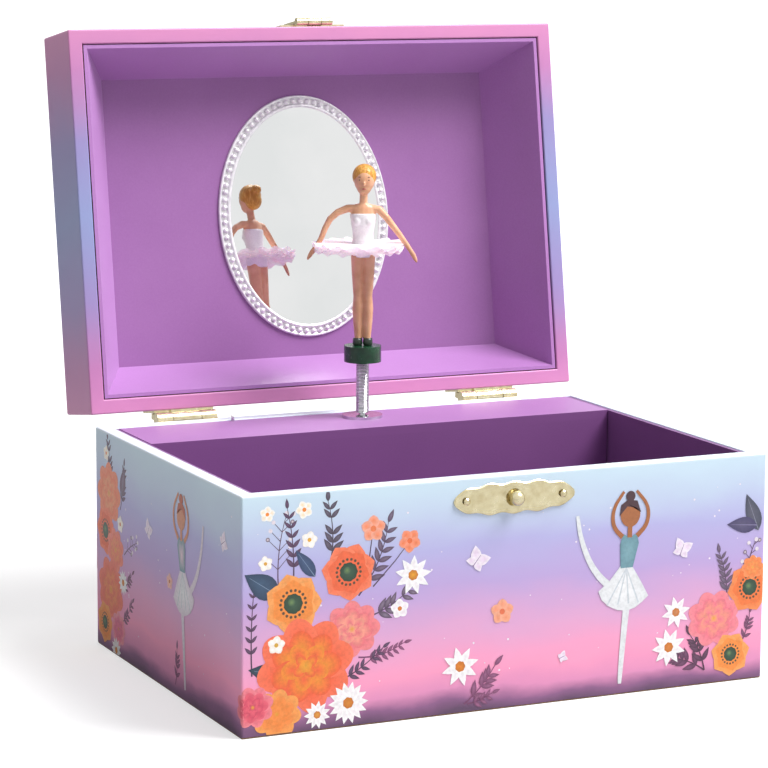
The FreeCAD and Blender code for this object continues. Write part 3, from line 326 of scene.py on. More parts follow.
# On the lid the colours run from pink at the front and back edges to slate blue between them.
lid_print, lid_tree, lid_shader = finish_named("lid_print", Roughness=0.42, Coat_Weight=0.25,
                                               Coat_Roughness=0.25)
lid_place = node(lid_tree, "ShaderNodeTexCoord")
shut = node(lid_tree, "ShaderNodeVectorRotate", Vector=lid_place.outputs["Object"],
            Center=hinge_line, Angle=LID_OPEN)
shut.rotation_type = "X_AXIS"
lid_axes = node(lid_tree, "ShaderNodeSeparateXYZ", Vector=shut.outputs[0])
lid_wash = use_group(lid_tree, grain_group, Size=30.0)
lid_share = math_node(lid_tree, "MULTIPLY_ADD", lid_axes.outputs[1], 0.5 / half_y, 0.5)
lid_level = math_node(lid_tree, "ADD", lid_share, math_node(
    lid_tree, "MULTIPLY_ADD", lid_wash.outputs["Mask"], 0.16, -0.08))
lid_fade = ramp(lid_tree, lid_level, [
    (0.0, "#cf84b4"), (0.10, "#bd7ab0"), (0.28, "#9488bd"), (0.5, "#8d97c6"), (0.72, "#9b87be"),
    (0.9, "#bf79b0"), (1.0, "#d183b6"),
])
lid_tree.links.new(lid_fade, lid_shader.inputs["Base Color"])
lid_fibre = use_group(lid_tree, grain_group, Size=0.35)
bump(lid_tree, lid_shader, lid_fibre.outputs["Height"], 0.02, 0.25)
lid_sheet = place_mesh(lid_mesh, "lid_printed_wrap", lid_print, "lid", open_lid)
harden(lid_sheet)
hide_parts("lid_wrap")


# ------------------------------------------------------------------ printed design
# The flowers, leaves and small dancers are a generic printed border of ink on the paper.
# Each layer of ink lies a hair over the one before it, so that the later shape is on top.
class InkSheet:
    """Flat ink shapes in millimetres on one panel: u to the viewer's right and v up."""

    BASE = 0.018
    STEP = 0.0002

    def __init__(self):
        self.shapes = []
        self.layer = 0
        # Spots that don't overlap, such as a ring of pollen, share one layer.
        self.one_layer = False

    def patch(self, outline, middle, inner, outer):
        """A shape filled out from its middle, its colour running from inner to outer."""
        if not self.one_layer:
            self.layer += 1
        self.shapes.append((self.layer, outline, middle, paint(inner), paint(outer)))

    def blot(self, u, v, radius, inner, outer=None, squash=1.0, turn=0.0, wobble=0.0, lobes=5):
        """A round or oval spot, with a wavy edge if asked."""
        outline = []
        for step in range(24):
            angle = math.tau * step / 24
            reach = radius * (1 + wobble * math.cos(lobes * angle))
            across, along = reach * math.cos(angle), reach * squash * math.sin(angle)
            outline.append((u + across * math.cos(turn) - along * math.sin(turn),
                            v + across * math.sin(turn) + along * math.cos(turn)))
        self.patch(outline, (u, v), inner, outer or inner)

    def petal(self, u, v, length, width, turn, inner, outer, notch=0.0):
        """A petal or leaf that grows from a point; a notch dents its tip."""
        outline = []
        for side in (1, -1):
            for step in range(1, 9) if side > 0 else range(7, 0, -1):
                t = step / 8
                half = width * 0.5 * math.sin(math.pi * t ** 0.75)
                reach = length * t - notch * length * (1 - min(1, half / (width * 0.28))) * (t > 0.7)
                outline.append((u + reach * math.cos(turn) - side * half * math.sin(turn),
                                v + reach * math.sin(turn) + side * half * math.cos(turn)))
        outline.append((u, v))
        middle = (u + length * 0.55 * math.cos(turn), v + length * 0.55 * math.sin(turn))
        self.patch(outline, middle, inner, outer)

    def stroke(self, points, start, end, code):
        """A line of ink that tapers from its start to its end."""
        left, right = [], []
        for i, (u, v) in enumerate(points):
            before, after = points[max(i - 1, 0)], points[min(i + 1, len(points) - 1)]
            angle = math.atan2(after[1] - before[1], after[0] - before[0])
            half = (start + (end - start) * i / (len(points) - 1)) / 2
            left.append((u - half * math.sin(angle), v + half * math.cos(angle)))
            right.append((u + half * math.sin(angle), v - half * math.cos(angle)))
        colour = paint(code)
        self.layer += 1
        for i in range(len(points) - 1):
            quad = [left[i], left[i + 1], right[i + 1], right[i]]
            middle = (sum(p[0] for p in quad) / 4, sum(p[1] for p in quad) / 4)
            self.shapes.append((self.layer, quad, middle, colour, colour))

    def anemone(self, u, v, radius, petal_in, petal_out, turn=0.0):
        """An open flower with broad petals and a dark green eye ringed with pollen."""
        for ring, (share, count) in enumerate(((1.0, 7), (0.78, 6))):
            for i in range(count):
                angle = turn + math.tau * (i + 0.5 * ring) / count
                self.petal(u, v, radius * share, radius * 0.98 * share, angle, petal_in,
                           petal_out if ring == 0 else petal_in, notch=0.08)
        self.layer += 1
        self.one_layer = True
        for i in range(18):
            angle = turn + math.tau * i / 18
            self.blot(u + 0.40 * radius * math.cos(angle), v + 0.40 * radius * math.sin(angle),
                      radius * 0.045, "#5a4630")
        self.one_layer = False
        self.blot(u, v, radius * 0.30, "#3c5a44", "#24402f", wobble=0.05, lobes=9)
        self.blot(u - 0.05 * radius, v + 0.05 * radius, radius * 0.12, "#6d8a55", "#3c5a44")

    def bloom(self, u, v, radius, outside, middle, heart, turn=0.0):
        """A full flower of rings of rounded petals, closed at the heart."""
        for share, count, low, high in ((1.0, 8, middle, outside), (0.74, 7, heart, middle),
                                        (0.5, 5, middle, heart), (0.28, 4, heart, middle)):
            for i in range(count):
                angle = turn + math.tau * (i + share) / count
                self.blot(u + radius * share * 0.58 * math.cos(angle),
                          v + radius * share * 0.52 * math.sin(angle),
                          radius * share * 0.44, low, high, squash=0.86, turn=angle, wobble=0.04, lobes=3)
        self.blot(u, v, radius * 0.13, "#e9a437", heart, wobble=0.08, lobes=6)

    def daisy(self, u, v, radius, turn=0.0, eye="#e79a2e", petals=12):
        for i in range(petals):
            angle = turn + math.tau * i / petals
            self.petal(u, v, radius, radius * 0.42, angle, "#f4eef2", "#ffffff")
        self.blot(u, v, radius * 0.26, eye, "#c9731d", wobble=0.06, lobes=7)

    def blossom(self, u, v, radius, inner, outer, turn=0.0, eye="#d77a2c"):
        """A small five-petalled flower."""
        for i in range(5):
            angle = turn + math.tau * i / 5
            self.petal(u, v, radius, radius * 0.82, angle, inner, outer, notch=0.12)
        self.blot(u, v, radius * 0.2, eye)

    def leaf(self, u, v, length, width, turn, inner="#3f5a78", outer="#2c3f5a", vein="#7f93ad"):
        self.petal(u, v, length, width, turn, inner, outer)
        tip = (u + 0.86 * length * math.cos(turn), v + 0.86 * length * math.sin(turn))
        self.stroke([(u, v), tip], 0.22, 0.08, vein)

    @staticmethod
    def stem(u, v, length, turn, bend):
        """Nine points along a stem that bends as it grows."""
        points = []
        for step in range(9):
            t = step / 8
            angle = turn + bend * t
            points.append((u + length * t * math.cos(angle), v + length * t * math.sin(angle)))
        return points

    def sprig(self, u, v, length, turn, pairs=5, leaf=2.6, bend=0.25, code="#4d3350", tip="#6d5070"):
        """A curved stem with leaves in pairs."""
        spine = self.stem(u, v, length, turn, bend)
        self.stroke(spine, 0.42, 0.16, code)
        for pair in range(pairs):
            t = 0.28 + 0.7 * pair / pairs
            at = spine[min(8, int(t * 8 + 0.5))]
            size = leaf * (1.1 - 0.45 * t)
            for side in (1, -1):
                self.petal(at[0], at[1], size, size * 0.36, turn + bend * t + side * 0.75, tip, code)
        self.petal(spine[-1][0], spine[-1][1], leaf * 0.8, leaf * 0.3, turn + bend, tip, code)

    def berries(self, u, v, length, turn, dots=7, code="#5b3b55", berry="#e9dfe8", bend=-0.2):
        """A fine branching stem with a berry at the end of each twig."""
        spine = self.stem(u, v, length, turn, bend)
        self.stroke(spine, 0.34, 0.14, code)
        for i in range(dots):
            t = 0.2 + 0.75 * i / dots
            at = spine[min(8, int(t * 8 + 0.5))]
            angle = turn + bend * t + (0.8 if i % 2 else -0.8)
            reach = length * 0.26 * (1.1 - 0.5 * t)
            end = (at[0] + reach * math.cos(angle), at[1] + reach * math.sin(angle))
            self.stroke([at, end], 0.2, 0.12, code)
            self.blot(end[0], end[1], 0.55, berry, code if i % 3 == 0 else berry)
        self.blot(spine[-1][0], spine[-1][1], 0.6, berry)

    def butterfly(self, u, v, size, turn=0.3, code="#f7eef8"):
        for side in (1, -1):
            self.petal(u, v, size, size * 0.72, turn + side * 0.75, "#e9d3ec", code)
            self.petal(u, v, size * 0.72, size * 0.55, turn + side * 2.1, "#e9d3ec", code)
        self.stroke([(u - 0.4 * size * math.cos(turn), v - 0.4 * size * math.sin(turn)),
                     (u + 0.45 * size * math.cos(turn), v + 0.45 * size * math.sin(turn))],
                    0.28, 0.16, "#a98bb5")

    def dancer(self, u, v, height, skin="#a9673c", hair="#4a3038", dress="#e6e9ec", top="#7fa9b4",
               flip=1):
        """A plain paper-cut dancer on one toe: a circle of arms, a bell skirt and a raised leg."""
        unit = height / 10

        def at(across, up):
            return (u + flip * across * unit, v + up * unit)

        def line(points, start, end, code):
            for _ in range(3):
                eased = [points[0]]
                for a, b in zip(points, points[1:]):
                    eased.append((0.75 * a[0] + 0.25 * b[0], 0.75 * a[1] + 0.25 * b[1]))
                    eased.append((0.25 * a[0] + 0.75 * b[0], 0.25 * a[1] + 0.75 * b[1]))
                points = eased + [points[-1]]
            self.stroke([at(*point) for point in points], start * unit, end * unit, code)

        line([(0.55, 4.6), (0.35, 2.4), (0.2, 0.5), (0.18, 0.0)], 0.42, 0.16, dress)
        line([(0.4, 4.6), (-0.6, 5.0), (-1.5, 6.0), (-2.1, 7.4), (-2.3, 8.6)], 0.46, 0.16, dress)
        skirt = [(0.75, 5.9), (1.25, 5.1), (1.7, 4.3), (1.35, 4.0), (0.95, 3.75), (0.5, 3.65), (0.0, 3.72),
                 (-0.5, 3.95), (-0.9, 4.3), (-1.1, 4.75), (-0.5, 5.2), (0.15, 5.95)]
        self.patch([at(*point) for point in skirt], at(0.4, 4.8), "#f5f6f8", dress)
        for fold in (-0.6, 0.0, 0.6, 1.15):
            line([(0.45, 5.8), (fold, 4.0)], 0.05, 0.10, "#cfd6dd")
        bodice = [(0.12, 5.8), (0.8, 5.8), (1.12, 7.0), (0.98, 7.5), (0.62, 7.3), (0.24, 7.5), (0.08, 7.0)]
        self.patch([at(*point) for point in bodice], at(0.55, 6.6), top, "#6b96a3")
        line([(0.2, 7.35), (-0.35, 7.9), (-0.35, 8.8), (0.25, 9.6)], 0.26, 0.14, skin)
        line([(1.0, 7.35), (1.6, 7.9), (1.65, 8.8), (0.95, 9.6)], 0.26, 0.14, skin)
        line([(0.6, 7.3), (0.62, 8.0)], 0.26, 0.24, skin)
        self.blot(*at(0.62, 8.45), 0.55 * unit, skin, squash=1.15)
        self.patch([at(*point) for point in (
            (0.02, 8.4), (0.1, 8.95), (0.5, 9.2), (1.0, 9.1), (1.22, 8.5), (0.95, 8.75), (0.45, 8.85))],
            at(0.5, 8.95), hair, hair)
        self.blot(*at(0.62, 9.35), 0.26 * unit, hair)

    def speckle(self, width, height, count, seed):
        """Loose dots of white ink, like scattered petals."""
        chance = random.Random(seed)
        self.one_layer = True
        for _ in range(count):
            self.blot(chance.uniform(-width, width), chance.uniform(6, height), chance.uniform(0.12, 0.3),
                      "#f6ecf6")
        self.one_layer = False

    def lay(self, name, corner, right, up, half_wide, foot_level, top_level, body, move=None):
        """Makes the panel's ink as one piece over the paper, trimmed and turned round its corners."""
        corner, right, up = Vector(corner), Vector(right), Vector(up)
        outward = right.cross(up)
        round_off = CORNER_ROUND / MM
        flat_end = half_wide - round_off
        turned = round_off * math.pi / 4
        mesh = bmesh.new()
        colours = mesh.loops.layers.float_color.new("ink")
        for layer, outline, middle, inner, outer in self.shapes:
            lift = self.BASE + layer * self.STEP
            centre = mesh.verts.new((middle[0], middle[1], lift))
            edge = [mesh.verts.new((point[0], point[1], lift)) for point in outline]
            for i, vertex in enumerate(edge):
                face = mesh.faces.new((centre, vertex, edge[(i + 1) % len(edge)]))
                for loop in face.loops:
                    loop[colours] = inner if loop.vert is centre else outer
        for side in (1, -1):
            for share in (0.0, 0.5, 1.0):
                bmesh.ops.bisect_plane(
                    mesh, geom=mesh.verts[:] + mesh.edges[:] + mesh.faces[:], dist=1e-6,
                    plane_co=(side * (flat_end + share * turned), 0, 0), plane_no=(side, 0, 0),
                    clear_outer=share == 1.0)
        for level, side in ((foot_level, -1), (top_level, 1)):
            bmesh.ops.bisect_plane(mesh, geom=mesh.verts[:] + mesh.edges[:] + mesh.faces[:], dist=1e-6,
                                   plane_co=(0, level, 0), plane_no=(0, side, 0), clear_outer=True)
        for vertex in mesh.verts:
            u, v, lift = vertex.co
            past = max(abs(u) - flat_end, 0.0) / round_off
            around = math.copysign(min(abs(u), flat_end) + (round_off + lift) * math.sin(past), u)
            depth = (round_off + lift) * math.cos(past) - round_off
            vertex.co = (corner + right * around + up * v + outward * depth) * MM
        if move is not None:
            mesh.transform(move)
        piece = new_piece(mesh, name, ink, smooth=False)
        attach(piece, body)


ink, ink_tree, ink_shader = finish_named("printing_ink", Roughness=0.42, Coat_Weight=0.25,
                                         Coat_Roughness=0.25)
ink_colour = node(ink_tree, "ShaderNodeVertexColor")
ink_colour.layer_name = "ink"
ink_grain = use_group(ink_tree, grain_group, Size=0.8)
ink_tone = ramp(ink_tree, ink_grain.outputs["Mask"], [(0.3, "#eeeeee"), (0.6, "#ffffff")])
ink_tree.links.new(mix_colour(ink_tree, 1.0, ink_colour.outputs[0], ink_tone, "MULTIPLY"),
                   ink_shader.inputs["Base Color"])

CORAL, CORAL_TIP = "#f0693f", "#fb8560"
ORANGE, ORANGE_TIP = "#f6913f", "#f9a85f"
PINK, PINK_TIP, PINK_DEEP = "#f2809a", "#f7a2ae", "#dd6288"


def left_cluster(sheet):
    """The big posy at the left end of the front."""
    sheet.berries(-66, 38, 19, 1.65, dots=9)
    sheet.sprig(-62, 38, 20, 1.5, pairs=6, leaf=3.4, bend=0.15)
    sheet.sprig(-52, 42, 17, 1.35, pairs=5, leaf=4.2, code="#4a4050", tip="#665d70")
    sheet.sprig(-73.2, 16, 23, 1.62, pairs=8, leaf=2.6, bend=-0.08)
    sheet.sprig(-44, 34, 20, 0.85, pairs=6, leaf=4.6, bend=0.3, code="#54405a", tip="#7d6c84")
    sheet.sprig(-42, 28, 15, 0.25, pairs=5, leaf=4.4, bend=0.25, code="#54405a", tip="#8d7d92")
    sheet.sprig(-44, 18, 13, -0.15, pairs=6, leaf=3.0, bend=0.35, code="#7b4068", tip="#9c5f86")
    sheet.sprig(-50, 12, 15, 0.35, pairs=5, leaf=3.2, bend=0.2)
    sheet.stroke([(-42, 38), (-41, 44), (-40.2, 50)], 0.36, 0.24, "#54405a")
    sheet.stroke([(-40, 36), (-34, 42), (-30.2, 46.4)], 0.36, 0.2, "#54405a")
    sheet.leaf(-66, 36, 11, 6.4, 2.55)
    sheet.leaf(-63, 15, 11.5, 5.6, 2.9, "#3c5566", "#24384a")
    sheet.leaf(-56, 40, 9, 3.6, 2.2, "#445a80", "#33466a")
    sheet.blossom(-69, 57, 2.4, "#ffe9c8", "#ffffff", 0.2, "#f08a2a")
    sheet.blossom(-59, 57.4, 2.7, "#ffe4b8", "#ffffff", 0.7, "#f08a2a")
    sheet.blossom(-57.6, 49.6, 2.6, "#ffffff", "#fff6ea", 0.1, "#e0a52f")
    sheet.blossom(-69.5, 44.5, 2.3, "#ffffff", "#fff6ea", 0.5, "#e0a52f")
    sheet.blossom(-40, 51, 4.0, "#f58a5a", "#f9b09a", 0.3, "#ef7f4c")
    sheet.blossom(-29.8, 47, 3.6, "#f5804c", "#f9a084", 0.9, "#f0703c")
    sheet.bloom(-45.8, 25.5, 7.6, "#f48b8e", "#ee7580", "#f7a38c")
    sheet.anemone(-46.8, 40.4, 8.2, CORAL, CORAL_TIP, 0.3)
    sheet.anemone(-62, 33.6, 8.6, ORANGE, ORANGE_TIP)
    sheet.bloom(-58.6, 17.2, 13.0, "#fc7a58", "#f2623a", "#f39432", 0.2)
    sheet.bloom(-66.5, 5.6, 6.6, "#f8a557", "#f79448", "#f28a3c", 0.6)
    sheet.bloom(-73.0, 8.0, 5.6, "#f58a96", "#ea6478", "#d94a64", 0.3)
    sheet.daisy(-28.8, 38, 5.2, 0.1, "#e8a52c", 9)
    sheet.blossom(-32.5, 29.6, 3.0, "#f3e6f0", "#ffffff", 0.4)
    sheet.blossom(-66.6, 23.4, 2.8, "#ffffff", "#fff3e6", 0.2, "#d9a93a")
    sheet.daisy(-46.8, 6.4, 5.6, 0.0, "#d98a2c", 14)
    sheet.daisy(-55.4, 4.2, 3.7, 0.3, "#e3a03a", 11)


def right_cluster(sheet):
    """The smaller posy at the right end, cut by the corner."""
    sheet.leaf(74, 41, 11, 4.6, 1.95, "#5f5f72", "#474a5c", "#8b8ca0")
    sheet.leaf(73.5, 42.5, 9.5, 4.4, 3.05, "#5c5578", "#474068", "#8f88ac")
    sheet.sprig(64.4, 22, 14, 1.5, pairs=6, leaf=3.6, code="#5b4760", tip="#7c6a84")
    sheet.berries(70.4, 28, 11, 1.5, dots=7)
    sheet.sprig(58, 4, 12, 2.5, pairs=4, leaf=4.6, code="#54304c", tip="#7b4c70")
    sheet.sprig(58, 4, 11, 1.75, pairs=4, leaf=4.2, code="#4a2c44", tip="#6e4664")
    sheet.sprig(69, 10, 9, 1.0, pairs=4, leaf=2.6, code="#6a3c5c", tip="#8d5a7e")
    sheet.bloom(60.6, 18.0, 8.0, "#f78f9a", "#f2798c", "#f79a84", 0.4)
    sheet.anemone(71.6, 25.6, 7.6, "#f2793a", "#f79154", 0.6)
    sheet.bloom(72.4, 31.0, 3.4, "#f7965c", "#f58244", "#f39a52")
    sheet.anemone(66.0, 7.6, 6.6, ORANGE, ORANGE_TIP, 0.2)
    sheet.daisy(48.8, 20.8, 4.4, 0.2, "#d58a5c", 8)
    sheet.daisy(46.8, 11.4, 5.2, 0.4, "#e0863c", 9)


front_ink = InkSheet()
front_ink.speckle(72, 56, 60, 4)
left_cluster(front_ink)
right_cluster(front_ink)
front_ink.blossom(-3.2, 26.0, 3.9, "#f59a74", "#f8b294", 0.3, "#e8744c")
front_ink.sprig(-14, 2.4, 13, 0.62, pairs=4, leaf=4.4, bend=0.2, code="#7a4268", tip="#9c6288")
front_ink.sprig(-13, 2.4, 7.5, 0.1, pairs=3, leaf=3.0, bend=0.2, code="#7a4268", tip="#9c6288")
front_ink.daisy(-15.2, 12.6, 5.4, 0.25, "#ec8a24", 8)
front_ink.butterfly(-10.8, 40.0, 4.2, 0.9)
front_ink.butterfly(50.2, 37.6, 3.8, 1.2)
front_ink.butterfly(14.5, 12.0, 2.0, 0.4)
front_ink.dancer(31, 3.0, 54)
WIDE, DEEP = half_x / MM, half_y / MM
INK_MARGIN = 0.6
INK_FOOT, INK_TOP = 0.5, case_top / MM - INK_MARGIN
front_ink.lay("front_printed_flowers", (0, -DEEP, 0), (1, 0, 0), (0, 0, 1), WIDE, INK_FOOT, INK_TOP,
              "case")


def side_cluster(sheet, flip):
    """The posy that fills the back end of each side."""
    sheet.sprig(flip * 42, 48, 12, math.pi / 2 + flip * 0.1, pairs=5, leaf=3.4)
    sheet.sprig(flip * 34, 42, 13, math.pi / 2 + flip * 0.5, pairs=5, leaf=3.4)
    sheet.leaf(flip * 33, 46, 9, 4.4, math.pi / 2 + flip * 0.3, "#7d5f78", "#5f4862")
    sheet.berries(flip * 31, 30, 12, math.pi / 2 + flip * 0.9, dots=8)
    for u, v, length, lean, pairs in ((34, 10, 12, 1.1, 5), (33, 20, 10, 1.2, 4)):
        sheet.sprig(flip * u, v, length, math.pi / 2 + flip * lean, pairs=pairs, leaf=3.0, code="#6a3c5c",
                    tip="#8d5a7e")
    sheet.blossom(flip * 45, 56, 2.6, "#ffe9c8", "#ffffff", 0.2, "#f08a2a")
    sheet.bloom(flip * 43, 45, 9.0, "#f7916c", "#f27a54", "#f6a070")
    sheet.anemone(flip * 46, 34, 7.6, CORAL, CORAL_TIP, 0.4)
    sheet.bloom(flip * 38, 30, 6.4, "#f8907c", "#f47a66", "#f79a64", 0.3)
    sheet.bloom(flip * 42, 18, 9.6, "#f6836c", "#f0705c", "#f5945c", 0.5)
    sheet.anemone(flip * 47, 7.6, 6.6, ORANGE, ORANGE_TIP, 0.1)
    sheet.bloom(flip * 36, 8, 5.2, PINK_TIP, PINK, PINK_DEEP)
    sheet.daisy(flip * 32, 22, 3.6, 0.2)
    sheet.daisy(flip * 38, 1.5, 3.8, 0.5)
    sheet.blossom(flip * 34, 38, 2.8, "#ffffff", "#fff1e2", 0.2)


left_ink = InkSheet()
left_ink.speckle(48, 56, 40, 11)
side_cluster(left_ink, -1)
left_ink.butterfly(-12, 40.5, 3.6, 1.0)
left_ink.butterfly(42, 48, 3.4, 0.5)
left_ink.blossom(4, 30, 2.6, "#f6b0a0", "#f9ccc0", 0.3)
left_ink.sprig(8, 3, 10, 1.2, pairs=4, leaf=3.2, code="#7a4268", tip="#9c6288")
left_ink.bloom(57.0, 8.0, 5.6, "#f58a96", "#ea6478", "#d94a64", 0.3)
left_ink.dancer(16, 3.2, 54, skin="#d28a68", hair="#b5583a", dress="#e4d8e4", top="#e8ccd8", flip=-1)
left_ink.lay("left_printed_flowers", (-WIDE, 0, 0), (0, -1, 0), (0, 0, 1), DEEP, INK_FOOT, INK_TOP,
             "case")

right_ink = InkSheet()
right_ink.speckle(48, 56, 40, 12)
side_cluster(right_ink, 1)
right_ink.butterfly(4, 42, 3.6, 1.9)
right_ink.butterfly(-30, 48, 3.2, 0.7)
right_ink.blossom(-18, 28, 3.0, "#f6b0a0", "#f9ccc0", 0.3)
right_ink.daisy(-38, 12, 4.6, 0.2)
right_ink.sprig(-40, 3, 12, 1.3, pairs=4, leaf=3.6, code="#7a4268", tip="#9c6288")
right_ink.sprig(8, 3, 12, 1.1, pairs=4, leaf=3.4, code="#7a4268", tip="#9c6288")
right_ink.daisy(10, 15, 4.2, 0.6)
right_ink.lay("right_printed_flowers", (WIDE, 0, 0), (0, 1, 0), (0, 0, 1), DEEP, INK_FOOT, INK_TOP,
              "case")

back_ink = InkSheet()
back_ink.speckle(72, 50, 50, 13)
left_cluster(back_ink)
back_ink.butterfly(22, 46, 3.8, 0.6)
back_ink.butterfly(-20, 50, 3.2, 1.4)
back_ink.blossom(26, 20, 3.6, "#f59a74", "#f8b294", 0.3)
back_ink.sprig(30, 3, 14, 1.2, pairs=5, leaf=3.8, code="#7a4268", tip="#9c6288")
back_ink.daisy(38, 12, 4.8, 0.1)
right_cluster(back_ink)
back_ink.lay("back_printed_flowers", (0, DEEP, 0), (-1, 0, 0), (0, 0, 1), WIDE, INK_FOOT, INK_TOP,
             "case")

lid_ink = InkSheet()
for turn, (end, side) in enumerate(((1, 1), (-1, 1), (-1, -1), (1, -1))):
    lid_ink.sprig(end * 44, side * 34, 18, math.pi * (end > 0) + side * end * -0.2, pairs=6, leaf=3.8)
    lid_ink.sprig(end * 58, side * 20, 16, -side * 1.5, pairs=5, leaf=3.6, code="#54405a", tip="#7d6c84")
    lid_ink.leaf(end * 48, side * 44, 11, 5.2, math.pi * (end > 0), "#3f5a78", "#2c3f5a")
    lid_ink.bloom(end * 62, side * 40, 10.5, CORAL_TIP, CORAL, "#f58b35", turn)
    lid_ink.anemone(end * 48, side * 37, 7.6, ORANGE, ORANGE_TIP, turn)
    lid_ink.anemone(end * 66, side * 24, 6.8, CORAL, CORAL_TIP, turn * 0.5)
    lid_ink.bloom(end * 37, side * 45, 6.2, PINK_TIP, PINK, PINK_DEEP, turn)
    lid_ink.daisy(end * 56, side * 27, 4.8, 0.2 * turn)
    lid_ink.daisy(end * 28, side * 40, 4.0, 0.4 * turn)
    lid_ink.blossom(end * 70, side * 12, 3.2, "#ffffff", "#fff3e6", 0.3 * turn)
for u, v, angle in ((-20, 22, 0.6), (24, 16, 1.3), (-8, -26, 0.2), (34, -18, 0.9)):
    lid_ink.butterfly(u, v, 4.4, angle)
lid_ink.dancer(-3, -27, 54)
lid_ink.lay("lid_printed_flowers", (0, 0, lid_top / MM), (1, 0, 0), (0, 1, 0), WIDE,
            INK_MARGIN - DEEP, DEEP - INK_MARGIN, "lid", open_lid)


# ------------------------------------------------------------------ lilac lining
# Card covered in plain lilac satin paper lines the case, the lid and the platform.
# The cards are cut and folded to shape, then glued in.
def lining_paper(name, deep, middle, light):
    """Satin lining paper: even colour, a slow cloudiness and a fine tooth."""
    material, tree, shader = finish_named(name, Roughness=0.48, Coat_Weight=0.12, Coat_Roughness=0.35,
                                          Sheen_Weight=0.15)
    tooth = use_group(tree, grain_group, Size=0.5)
    cloud = use_group(tree, grain_group, Size=40.0)
    level = math_node(tree, "MULTIPLY_ADD", tooth.outputs["Mask"], 0.35,
                      math_node(tree, "MULTIPLY", cloud.outputs["Mask"], 0.65))
    tree.links.new(ramp(tree, level, [(0.30, deep), (0.5, middle), (0.72, light)]),
                   shader.inputs["Base Color"])
    bump(tree, shader, tooth.outputs["Height"], 0.03, 0.3)
    return material


# Faces of the platform that point to the front are mixed towards a deeper lilac: painted shade, as deep as
# the compartment that they face.
shelf_lining = lining_paper("lilac_lining", "#9c64a6", "#a36bad", "#aa73b4")
shelf_tree = shelf_lining.node_tree
shelf_colour = shelf_tree.nodes["Principled BSDF"].inputs["Base Color"]
shelf_shade_normal = node(shelf_tree, "ShaderNodeSeparateXYZ",
                    Vector=shelf_tree.nodes.new("ShaderNodeNewGeometry").outputs["Normal"])
front_face_painted_shade = math_node(shelf_tree, "MULTIPLY", shelf_shade_normal.outputs[1], -1.0, clamp=True)
shelf_tree.links.new(mix_colour(shelf_tree, front_face_painted_shade, shelf_colour.links[0].from_socket,
                                paint("#804b8a")), shelf_colour)
finish_nodes(shelf_lining, "platform")
# The lid panel's copy of the one lilac paper is a little deeper in tone, as painted shade, and the lid
# sides' copy is lighter, as painted light.
finish_nodes(lining_paper("lid_panel_shaded_lilac_lining", "#925c9b", "#9963a2", "#a06ba8"), "lid_lining_panel")
finish_nodes(lining_paper("lid_sides_lit_lilac_lining", "#a66eb0", "#ad76b8", "#b47ebf"), "lid_lining_sides")
# The compartment's copy of the lilac paper is much deeper in tone: painted shade inside the compartment.
finish_nodes(lining_paper("compartment_shaded_lilac_lining", "#7a4684", "#804b8a", "#865190"),
             "case_lining", "compartment_floor", "bay_divider")

# ------------------------------------------------------------------ music movement
# A wind-up movement is screwed under the platform: a zinc bedplate, a steel comb, brass gears.
# Cast parts are dull, rolled steel is brushed, and the drum and wheels are turned brass.
def metal(name, dark, light, roughness, stretch=(1, 1, 1), size=0.8, depth=0.01, metallic=1.0):
    """A metal, or a moulded plastic if metallic is low, with fine marks in colour and polish."""
    material, tree, shader = finish_named(name, Metallic=metallic)
    marks = use_group(tree, grain_group, Size=size, Stretch=stretch)
    tree.links.new(ramp(tree, marks.outputs["Mask"], [(0.3, dark), (0.65, light)]),
                   shader.inputs["Base Color"])
    tree.links.new(math_node(tree, "MULTIPLY_ADD", marks.outputs["Mask"], 0.18, roughness - 0.09),
                   shader.inputs["Roughness"])
    bump(tree, shader, marks.outputs["Height"], depth, 0.3)
    return material


cast_zinc = metal("cast_zinc", "#8f9195", "#b4b6ba", 0.48, size=1.2, depth=0.04)
brushed_steel = metal("brushed_steel", "#9fa2a6", "#d4d6d8", 0.26, stretch=(1, 1, 8), size=1.6)
gear_brass = metal("gear_brass", "#b08a3c", "#d9b562", 0.3, size=1.0)
fly_plastic = metal("fly_plastic", "#e4e1da", "#f1efe9", 0.45, size=1.0, metallic=0.0)
blue_steel = metal("spring_steel", "#5c6067", "#858a92", 0.3, stretch=(1, 1, 6), size=1.0)
finish_nodes(cast_zinc, "bedplate", "comb_base", "drum_bracket_inner", "drum_bracket_outer",
             "governor_bracket", "shaft_guide", "spring_barrel")
polished_steel = metal("polished_steel", "#b9bbbe", "#e2e3e4", 0.16, stretch=(1, 1, 5), size=2.4,
                       depth=0.004)
finish_nodes(brushed_steel, "drum_shaft", "drive_shaft", "governor_shaft", "winding_arbor",
             "movement_screws")
finish_nodes(polished_steel, "shaft_bush", "stop_wire", "winding_key", "key_eyelet")
finish_nodes(blue_steel, "comb", "mainspring")
finish_nodes(gear_brass, "music_drum", "drum_gear", "governor_wheel", "crown_gear")
finish_nodes(fly_plastic, "air_fly")


def soften(width, *names, segments=2):
    """Breaks the sharp edges of the named nodes, as the real tooling does."""
    for name in names:
        piece = frame["nodes"][name]
        modifier = piece.modifiers.new("broken_edges", "BEVEL")
        modifier.width = width * MM
        modifier.segments = segments
        modifier.limit_method = "ANGLE"
        modifier.angle_limit = math.radians(40)
        modifier.harden_normals = True


soften(0.12, "winding_key", "shaft_bush", "key_eyelet", "bedplate", "spring_barrel")
soften(0.15, "platform", "bay_divider")

